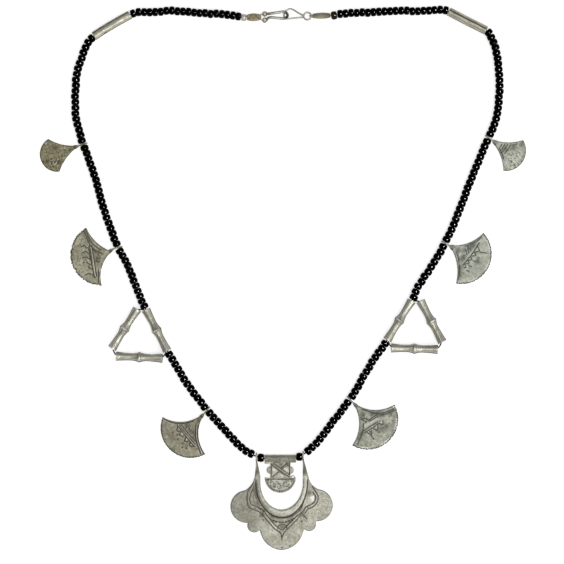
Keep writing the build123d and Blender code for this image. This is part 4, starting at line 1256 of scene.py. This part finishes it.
pendant_work = {
    "liner": [[(-12, -15.7), (-10.6, -21.5), (-8.3, -26), (-6.2, -28.9), (-3.3, -30.8), (0, -31.4),
               (3.3, -31.1), (6.6, -29.5), (9.1, -27.3), (10.8, -23.5), (12, -19.8), (12.8, -15.7)],
              [(-14.2, -13.6), (-16.6, -17.4), (-17.4, -22.6), (-16.4, -25.9), (-13.9, -27.2),
               (-11.6, -28.2), (-9.4, -30.2), (-7, -33.1), (-4.6, -35.8), (-2.6, -37.6), (-0.9, -38.7)],
              [(15.2, -15.4), (16.9, -18), (18.2, -20.6), (17.7, -23.5), (15.4, -25.9), (13, -27.2),
               (11.6, -28.9)], [(-0.9, -38.3), (-0.2, -40), (0.1, -41.1)],
              [(1.3, -38.5), (0.6, -40), (0.1, -41.1)], [(0.1, -40.9), (0.1, -42.2)],
              [(8.3, -31.2), (9.5, -30.2)], [(11, -30.2), (12.4, -31.8)],
              [(-11.6, -26.4), (-10, -26.9), (-8.9, -28.3)]],
    "scribe": [[(-13.9, -15.4), (-15.5, -19.5), (-15.9, -22.9), (-14.9, -24.7), (-12.9, -25.4),
                (-10.9, -26.5), (-8.9, -27.8), (-7.6, -29.9), (-6, -31.8), (-4.1, -34.1), (-2.2, -36),
                (-0.2, -37.3)],
               [(15.6, -18.4), (16.9, -20.7), (16.5, -22.9), (14.5, -24.7), (12, -26), (10.6, -28.1),
                (7.4, -30.5), (5.2, -32.6), (2.9, -35), (0.6, -37.4)],
               [(8.1, -31.8), (5.9, -33.9), (3.6, -36.3), (1.4, -38.4)],
               [(-5.6, -32.2), (0.4, -33.6), (6.6, -31.5)],
               [(-1.9, -37), (-1.6, -35.4), (0.4, -34.6), (2.4, -35.4), (2.6, -36.8)]],
    "ridge": [[(-14.5, -15.2), (-16.2, -19.4), (-16.6, -23.1), (-15.4, -25.2), (-13.3, -26),
               (-11.2, -27.1), (-9.5, -28.1), (-8.3, -30.2), (-6.6, -32.2), (-4.6, -34.7), (-2.5, -36.8),
               (-0.4, -38)],
              [(16.2, -18.1), (17.6, -20.6), (17.2, -23.1), (14.9, -25.2), (12.4, -26.4), (11.2, -28.5),
               (7.9, -31), (5.8, -33.1), (3.3, -35.6), (0.8, -38)]],
    "punch": [[(-4.2, -32.9)], [(-2.7, -33.3)], [(-1.2, -33.5)], [(0.4, -33.6)], [(2, -33.5)],
              [(3.6, -33.1)], [(5.2, -32.6)], [(-9.1, -32.4)], [(-10.8, -30.6)], [(10.1, -33.1)],
              [(-10.8, -27)], [(-9.6, -28.4)], [(0, -46.4)], [(4.1, -45.4)], [(4.1, -28.9)],
              [(5.8, -28.1)], [(-13.2, -26.3)], [(13, -26.2)]],
    "boss": [[(-8.5, -30.6)], [(-7.3, -31.1)], [(9.9, -31)], [(-13.9, -21.4)], [(-13.7, -22.8)]],
    "pane": [[(14.7, -21), (15.9, -22.5)], [(15.8, -20.8), (14.9, -22.8)],
             [(-13.6, -21.2), (-13.2, -22.4)]],
    "shade": [[(-14, -17.6)], [(-13, -20), (-11.6, -24.6)], [(-4.6, -30.6), (4.6, -30.4)], [(0.4, -35.6)],
              [(13.8, -18.6)], [(-12.9, -14.6)], [(-9.6, -29.4)], [(10.4, -29.6)]],
    "rub": [[(15.2, -21.6)]],
}


def pendant_ear_and_arm(ear, side, columns, rows=70):
    """The rows of an arm from its flat foot up to the ear, and the pierced ear on it."""
    down = np.linspace(twist_start, arm_foot + ear[1], rows)
    share = (down - twist_start) / (down[-1] - twist_start)
    middle = side * (opening_half + arm_width / 2)
    spine = np.stack([ear[0] + (middle - ear[0]) * share, ear[1] - down, 0 * share], 1)
    lean = np.radians(90 * (1 - share ** 2) ** 2)
    width = arm_width - arm_waist * np.sin(np.pi * share)
    outward = np.stack([side * np.cos(lean), 0 * lean, side * np.sin(lean)], 1)
    facing_up = np.stack([-np.sin(lean), 0 * lean, np.cos(lean)], 1)
    across = np.linspace(-0.5, 0.5, columns)
    flat = spine[:, None] + (width[:, None] * across[None])[..., None] * outward[:, None]
    half = (ear_sheet + (pendant_sheet - ear_sheet) * share) / 2
    rounded = half[:, None] - 0.14 * (abs(2 * across) ** 5)[None]
    front = flat + rounded[..., None] * facing_up[:, None]
    back = flat - half[:, None, None] * facing_up[:, None]
    tab = pierced_tab(ear_reach, twist_start + 0.1, ear_height, ear_sheet, ear_hole)
    tab["points"] = tab["points"] @ flat_turn(-90) + [*ear, 0]
    return front, back, tab


def pendant_plan(rows, columns):
    """The pendant's sheet as a flat grid of points, round from one arm's foot to the other and out
    from the opening to the outline."""
    right, left = (pendant_outline(side) for side in (1, -1))
    outside = np.concatenate([right, left[::-1][1:]])
    inside = np.array([opening_point(spot) for spot in outside])
    travelled = np.concatenate([[0], np.cumsum(np.linalg.norm(np.diff(outside, axis=0), axis=1))])
    even = np.linspace(0, travelled[-1], rows)
    inside, outside = (np.stack([np.interp(even, travelled, line[:, i]) for i in (0, 1)], 1)
                       for line in (inside, outside))
    share = np.linspace(0, 1, columns)[None, :, None]
    return inside[:, None] * (1 - share) + outside[:, None] * share


def pendant_face(plan):
    """What the tools, the raised rim and wear leave on the sheet: its lift, stain and polish."""
    across, up = plan[..., 0], plan[..., 1]

    # The raised rim is rounded across and fades into the arms
    below = np.clip(-opening_depth - up, 0, None)
    opened = np.hypot(across / opening_half, below / opening_depth)
    covered = np.hypot(across / rim_half, below / rim_depth)
    over_rim = np.where(covered < 1, np.clip((opened - 1) / np.maximum(opened - covered, 1e-4), 0, 1), 1.0)
    rim = np.clip(4 * over_rim * (1 - over_rim), 0, 1) ** 0.6
    fade = np.clip((-arm_foot - up) / rim_fade, 0, 1)
    rim *= fade ** 2 * (3 - 2 * fade)
    lift, stain, polish_and_highlight = tooled(across, up, pendant_work)
    lift = lift * (1 - rim) + rim_rise * rim
    lift = lift + hammered(across, up, pendant_blows, blow_depth, pendant_blow_size)

    # Its outer foot is dark, the rim is rubbed bright above all on its inner slope, with a painted
    # highlight that fades towards the left, and the left of the sheet is duller
    foot = fading(over_rim - 1.0, 0.06) * (covered < 1.03) * (up < -12.0)
    stain = np.maximum(stain * (1 - rim), 0.95 * foot)
    painted_light_from_right = np.clip((across + 8) / 14, 0.1, 1)
    rubbed = fading(over_rim - 0.8, 0.09) * (covered < 1)
    polish_and_highlight = np.maximum(polish_and_highlight, painted_light_from_right * (0.2 * rim + 0.6 * rubbed))
    edge, inner_edge = (distance_to(across, up, plan[::3, side]) for side in (-1, 0))
    lift = lift - 0.2 * fading(edge, 0.28) - 0.12 * fading(inner_edge, 0.2)
    stain = np.maximum(stain, 0.55 * fading(edge, 0.25))
    stain = np.maximum(stain, 0.3 * np.clip((-across - 9) / 8, 0, 1))
    patch = np.exp(-((across + 12.6) / 2.2) ** 2 - ((up + 19.0) / 6.5) ** 2)
    return lift, np.maximum(stain, 0.7 * patch * (1 - rim)), polish_and_highlight


def main_pendant(ears, rows=520, columns=121):
    """The sheet with its two arms and the pierced tabs of its ears, tipped down to the table."""
    plan = pendant_plan(rows, columns)
    lift, stain, polish_and_highlight = pendant_face(plan)
    half = pendant_sheet / 2
    front = np.concatenate([plan, (half + lift)[..., None]], 2)
    back = np.concatenate([plan, np.full_like(front[..., :1], -half)], 2)
    (right_front, right_back, right_tab), (left_front, left_back, left_tab) = (
        pendant_ear_and_arm(ear, side, columns) for side, ear in zip((1, -1), ears))
    front = np.concatenate([right_front[:-1], front, left_front[-2::-1]])
    back = np.concatenate([right_back[:-1], back, left_back[-2::-1]])
    bare = np.zeros((len(right_front) - 1, columns))
    shade = np.linspace(0.5, 0.25, len(bare))[:, None] + bare
    polish_and_highlight = np.concatenate([bare, polish_and_highlight * (1 - stain), bare])
    stain = np.concatenate([shade, stain, shade[::-1]])
    sheet = on_sheet(front, back, front + luck.uniform(0, 60, 3), stain, polish_and_highlight)
    slope = math.asin((thread_level - half) / pendant_drop)
    return [{**shell, "points": tipped(shell["points"] + [pendant_aside, 0, 0], "x", slope)}
            for shell in (sheet, right_tab, left_tab)]


between_ears = (on_thread(ear_at["left"]) + on_thread(ear_at["right"])) / 2
ears = [on_thread(ear_at[side])[:2] - between_ears[:2] - [pendant_aside, 0] for side in ("right", "left")]
make_piece("lobed_pendant", [{**shell, "points": shell["points"] + between_ears}
                             for shell in main_pendant(ears)],
           pendant_silver, "main_pendant", 38)

# Clasp: a hook of doubled silver wire that bites into a wire eye. Each is bound to the thread's
# end, on the left with plaited thread behind a pale cap ring, on the right with a tight whipping.
cap_hole = 1.3
hook_width = 1.35
hook_aside = 0.7
curl_width = 0.85
curl_at = (9.0, 1.55)
curl_radius = 0.95
eye_width = 0.82
eye_half = 2.55
ring_at = 30.335
ring_radius = 1.85
ring_level = 0.2625
tear_length = 10.0
tear_level = -0.8
crossing_level = -0.42
clasp_length = float(np.linalg.norm(on_thread(thread_length) - on_thread(0)))
clasp_axes = facing(on_thread(thread_length) - on_thread(0))
clasp_silver = old_silver("wire_silver", (0.37, 0.36, 0.30), (0.22, 0.21, 0.16), (0.04, 0.036, 0.026), 0.2)
cap_silver = old_silver("cap_silver", (0.66, 0.64, 0.57), (0.42, 0.40, 0.33), (0.10, 0.09, 0.06), 0.1)


def in_clasp(shell):
    """A shell made along the clasp, from the left end of the thread, laid where the clasp lies."""
    return set_down(shell, on_thread(0), clasp_axes)


def painted_underside_shade(shell, width, sides):
    """Painted shade on a wire where its skin turns down to the table."""
    rings = shell["points"].reshape(-1, sides, 3)
    rise = (rings[..., 2] - rings[..., 2].mean(axis=1, keepdims=True)) * 2 / width
    return {**shell, "stain": 0.8 * np.clip((0.62 - rise) / 0.4, 0, 1).ravel()}


def rounded_wire(points, width, cuts=3, sides=12):
    """A wire through points in space, with its corners rounded."""
    return painted_underside_shade(tube_along(cut_corners(points, cuts), width / 2, sides), width, sides)


def wire_ring(centre, radius, width, upright=False, sides=12, around=40):
    """A closed ring of wire, lying flat or standing upright along X."""
    turn = np.linspace(0, 2 * np.pi, around, endpoint=False)
    section = np.linspace(0, 2 * np.pi, sides, endpoint=False)
    spokes = radius + width / 2 * np.cos(section)
    x = np.outer(np.cos(turn), spokes)
    y = np.outer(np.sin(turn), spokes)
    z = np.broadcast_to(width / 2 * np.sin(section), x.shape)
    points = np.stack([x, z, y] if upright else [x, y, z], -1).reshape(-1, 3) + centre
    faces = ring_faces(around, sides, True)
    if upright:
        faces = [face[::-1] for face in faces]
    return painted_underside_shade({"points": points, "faces": faces, "lie": points}, width, sides)


cap_half = cap_length / 2
cap_rows = [(-cap_half, 1.2), (-cap_half + 0.12, 1.52), (-cap_half + 0.4, 1.68), (cap_half - 0.4, 1.7),
            (cap_half - 0.12, 1.55), (cap_half, 1.25)]
cap = rolled(cap_rows, [(cap_half, cap_hole / 2), (-cap_half, cap_hole / 2)], 40, -upward, 0.0,
             [(0.2, upward, 0.12, 0.6)])
cap["stain"] = np.maximum(cap["stain"], 0.8 * fading(cap["points"][:, 0] + cap_half, 0.3))
make_piece("cap_ring", [set_down(cap, on_thread(cap_at), facing(thread_heading(cap_at)))], cap_silver,
           "cap_ring_left")

# The hook's wire runs from one curl along its upper side, dips through the ring and comes back
bends = [(10.95, 0.85, 0.525), (14.6, 1.28, 0.525), (18.885, 1.85, 0.525), (19.735, 1.295, 0.225),
         (20.33, 0.65, -0.475)]
upper, lower = ([(9.85, side * curl_at[1], 0.1)] + [(x, hook_aside + side * y, z) for x, y, z in bends]
                for side in (1, -1))
hook = [rounded_wire(upper + [(20.585, hook_aside, -1.55)] + lower[::-1], hook_width)]
hook += [wire_ring((curl_at[0], side * curl_at[1], 0), curl_radius, curl_width) for side in (1, -1)]
for shell in hook:
    along = shell["points"][:, 0]
    # Painted shadow where the hook bends round the eye, and a lighter one near the curls.
    painted_shade = 0.3 * fading(along - 10.6, 0.9) + 0.9 * fading(along - 20.0, 0.9)
    shell["stain"] = np.maximum(shell["stain"], painted_shade)
    # A painted highlight along the top of the legs, where they are not shaded.
    shell["polish_and_highlight"] = 0.4 * fading(along - 16.0, 2.5) * (shell["stain"] < 0.1)
make_piece("wire_hook", [in_clasp(shell) for shell in hook], clasp_silver, "clasp_hook", 60)

# The eye's wire opens from its double ring into a teardrop, in shares of its length and half width
tear = [(0.86, 0.45), (0.72, 0.72), (0.54, 1.28), (0.34, 1.60), (0.20, 1.42), (0.06, 0.95), (0.0, 0.27),
        (0.05, -0.37), (0.23, -0.42), (0.54, -0.28), (0.86, -0.20)]
ring_side = ring_at - ring_radius
tip = ring_side - tear_length
route = [(ring_side, 0.1, crossing_level)]
route += [(tip + tear_length * x, eye_half * y, tear_level) for x, y in tear]
route += [(ring_side + 0.2, -0.5, crossing_level)]
eye = [rounded_wire(route, eye_width)]
eye += [wire_ring((ring_at, 0, level), ring_radius, eye_width, around=56)
        for level in (ring_level, -ring_level)]
# A painted highlight along the top of the eye's wire.
for shell in eye:
    shell["polish_and_highlight"] = 0.3 * (shell["stain"] < 0.1)
make_piece("wire_eye", [in_clasp(shell) for shell in eye], clasp_silver, "clasp_eye", 60)


def bound_thread(name, pale, olive, brown):
    """Waxed thread in several shades, with the twist of its plies."""
    material = bpy.data.materials.new(name)
    add = nodes_of(material)
    lie = marked(add, "lie")
    fuzz = add("TexNoise", {"Vector": lie, "Scale": 2.2, "Detail": 4.0}).outputs["Fac"]
    plies = add("TexWave", {"Vector": lie, "Scale": 1.4, "Distortion": 0.8},
                bands_direction="DIAGONAL").outputs["Fac"]
    colour = mixed(add, marked(add, "stain"), mixed(add, fuzz, (*pale, 1), (*olive, 1)), (*brown, 1))
    colour = mixed(add, marked(add, "polish_and_highlight"), colour, (0.78, 0.75, 0.62, 1))
    finished(add, plies, 0.5, 0.0001, {"Base Color": colour, "Roughness": 0.72, "Sheen Weight": 0.2})
    return material


plait_thread = bound_thread("plaited_thread", (0.72, 0.63, 0.42), (0.32, 0.30, 0.16), (0.15, 0.095, 0.05))
beige_thread = bound_thread("beige_waxed_thread", (0.37, 0.30, 0.18), (0.20, 0.17, 0.08),
                            (0.07, 0.045, 0.025))

# Each binding's length and its radius at its tail, its belly and its nose
left_binding = (7.3, 1.15, 1.98, 1.15)
right_binding = (9.0, 1.0, 1.65, 1.1)
plait_radius = 0.31
plait_strands = 6
whipping_radius = 0.21
whipping_turns = 22
stitch_radius = 0.16
loop_width = 0.4


def binding_radius(share, binding):
    """The radius of a binding at a share of its length."""
    _, tail, belly, nose = binding
    slim = tail + (nose - tail) * share
    return slim + (belly - slim) * np.sin(np.pi * np.clip(share, 0, 1) ** 0.9) ** 0.8


def binding_core(binding, less, start=0.0, ahead=1, around=20):
    """The inside of a binding, painted dark as the shade between its strands, closed at both ends."""
    rows = [(start + ahead * binding[0] * share, binding_radius(share, binding) - less)
            for share in np.linspace(0, 1, 18)]
    rows = [(rows[0][0], 0.02)] + rows + [(rows[-1][0], 0.02)]
    core = turned(rows if ahead > 0 else rows[::-1], around, False)
    last = (len(rows) - 1) * around
    core["faces"] += [list(range(around)), [last + j for j in range(around)][::-1]]
    return {**core, "stain": 0.8}


def thread_loop(x, y, radius, around, dark):
    """A loop of thread that stands upright and holds the clasp."""
    return {**wire_ring((x, y, 0), radius, loop_width, True, 8, around), "stain": dark}


shells = [binding_core(left_binding, 0.42)]
share = np.linspace(0.02, 0.98, 60)
for hand in (1, -1):
    for strand in range(plait_strands):
        turn = hand * (2 * np.pi * (1.05 * share) + strand * np.pi / 3)
        weave = 0.14 * np.sin(plait_strands * turn * hand + (0 if hand > 0 else np.pi))
        radius = binding_radius(share, left_binding) - plait_radius - 0.06 + weave
        line = np.stack([share * left_binding[0], radius * np.cos(turn), radius * np.sin(turn)], 1)
        plait = tube_along(line, plait_radius, 6)
        shade = (0.0, 0.6, 0.1, 1.0, 0.05, 0.4)[strand] * (1.0 if hand > 0 else 0.8)
        plait["stain"] = np.repeat(np.clip(shade + 0.3 * np.sin(5 * turn + strand), 0, 1), 6)
        plait["lie"] = plait["lie"] + luck.uniform(0, 40, 3)
        shells.append(plait)
shells += [thread_loop(8.05, side * curl_at[1], curl_radius, 28, 0.1) for side in (1, -1)]
make_piece("plaited_binding", [in_clasp(shell) for shell in shells], plait_thread, "knot_left",
           70)

share = np.linspace(0.01, 0.99, whipping_turns * 18)
turn = 2 * np.pi * whipping_turns * share
radius = binding_radius(share, right_binding) - whipping_radius
line = np.stack([clasp_length - share * right_binding[0], radius * np.cos(turn), radius * np.sin(turn)], 1)
whipping = tube_along(line, whipping_radius, 6)
whipping["stain"] = np.repeat(0.12 + 0.12 * np.sin(turn * 0.37) + 0.2 * (share < 0.1), 6)
whipping["polish_and_highlight"] = np.repeat(0.35 * fading(share - 0.55, 0.3), 6)
shells = [binding_core(right_binding, 0.3, clasp_length, -1), whipping]
for place in np.arange(0.14, 0.93, 0.115):
    x, top = clasp_length - place * right_binding[0], binding_radius(place, right_binding)
    stitch = [(x - 0.25, 0.55, top - 0.22), (x, 0.7, top - 0.12), (x + 0.25, 0.85, top - 0.3)]
    shells.append({**tube_along(stitch, stitch_radius, 6), "stain": 1.0})
shells.append(thread_loop(32.19, 0, 1.08, 30, 0.2))
make_piece("whipped_binding", [in_clasp(shell) for shell in shells], beige_thread, "knot_right",
           70)

# The table and the light: a plain white surface under a white tent that is darker overhead and
# brighter to the right and in front. A wide soft lamp hangs above, a small one leaves a gleam on
# each bead, and two light the round silver only. The camera looks straight down.
table = bpy.data.materials.new("white_table")
add = nodes_of(table)
grain = add("TexNoise", {"Vector": add("TexCoord").outputs["Object"], "Scale": 90.0, "Detail": 3.0})
paint = mixed(add, grain.outputs["Fac"], (0.9, 0.9, 0.9, 1), (0.94, 0.94, 0.94, 1))
shader = add("BsdfPrincipled", {"Base Color": paint, "Roughness": 0.8,
                                "Emission Color": (1, 1, 1, 1), "Emission Strength": 0.6})
add("OutputMaterial", {"Surface": shader.outputs["BSDF"]})
floor_mesh = bpy.data.meshes.new("table_top")
table_half = 4.0
corners = [(x * table_half, y * table_half, 0) for x, y in ((-1, -1), (1, -1), (1, 1), (-1, 1))]
floor_mesh.from_pydata(corners, [], [(0, 1, 2, 3)])
floor_mesh.materials.append(table)
floor = bpy.data.objects.new("table_top", floor_mesh)
bpy.context.scene.collection.objects.link(floor)

tent = bpy.data.worlds.new("tent")
add = nodes_of(tent)
toward = add("TexCoord").outputs["Generated"]
height = add("SeparateXYZ", {"Vector": toward}).outputs["Z"]
cloth = add("MapRange", {"Value": height, "From Min": 0.35, "From Max": 0.97, "To Min": 0.70,
                         "To Max": 0.20}, interpolation_type="SMOOTHSTEP").outputs["Result"]
sideways = add("VectorMath", {0: toward, 1: (0.34, -0.26, 0.0)}, operation="DOT_PRODUCT").outputs["Value"]
brightness = add("Math", {0: cloth, 1: sideways}).outputs["Value"]
glow = add("Background", {"Color": (1.0, 1.0, 1.0, 1), "Strength": brightness}).outputs["Background"]
add("OutputWorld", {"Surface": glow})
bpy.context.scene.world = tent


def soft_lamp(name, direction, size, power, lit=None, distance=1.3):
    """A round lamp that faces the necklace. It lights everything, or only one group of pieces."""
    lamp = bpy.data.lights.new(name, "AREA")
    lamp.shape = "DISK"
    lamp.size = size
    lamp.energy = power
    hung = bpy.data.objects.new(name, lamp)
    hung.location = unit(direction) * distance
    hung.rotation_mode = "QUATERNION"
    hung.rotation_quaternion = Vector(-unit(direction)).to_track_quat("-Z", "Y")
    bpy.context.scene.collection.objects.link(hung)
    if lit:
        hung.light_linking.receiver_collection = lit
        hung.visible_diffuse = False


# The small lamp that makes the gleams lights only the glass. A lamp on the right draws a bright
# streak on the round silver only, and a weak one opposite lifts its dark side.
glassware, round_silver = (bpy.data.collections.new(kind) for kind in ("glassware", "round_silver"))
for piece in bpy.context.scene.collection.objects:
    if piece.name.startswith("glass_bead"):
        glassware.objects.link(piece)
    elif piece.name.startswith(("bamboo_tube", "rolled_tube", "wire_", "cap_ring")):
        round_silver.objects.link(piece)
soft_lamp("gleam_lamp", (0.375, -0.04, 0.926), 0.3, 450.0, glassware)
soft_lamp("streak_lamp", (0.42, -0.40, 0.81), 0.22, 4.0, round_silver)
soft_lamp("fill_lamp", (-0.45, 0.50, 0.74), 1.0, 1.6, round_silver)
soft_lamp("window_lamp", (0.10, -0.08, 0.99), 1.2, 5.0)

camera = bpy.data.cameras.new("camera")
camera.lens = 120.0
camera.sensor_width = 36.0
view_width = 0.282
view_middle = (-0.0005, -0.002, 0.002)
seat = bpy.data.objects.new("camera", camera)
seat.location = (*view_middle[:2], view_middle[2] + view_width * camera.lens / camera.sensor_width)
bpy.context.scene.collection.objects.link(seat)
bpy.context.scene.camera = seat
bpy.context.scene.view_settings.view_transform = "Standard"
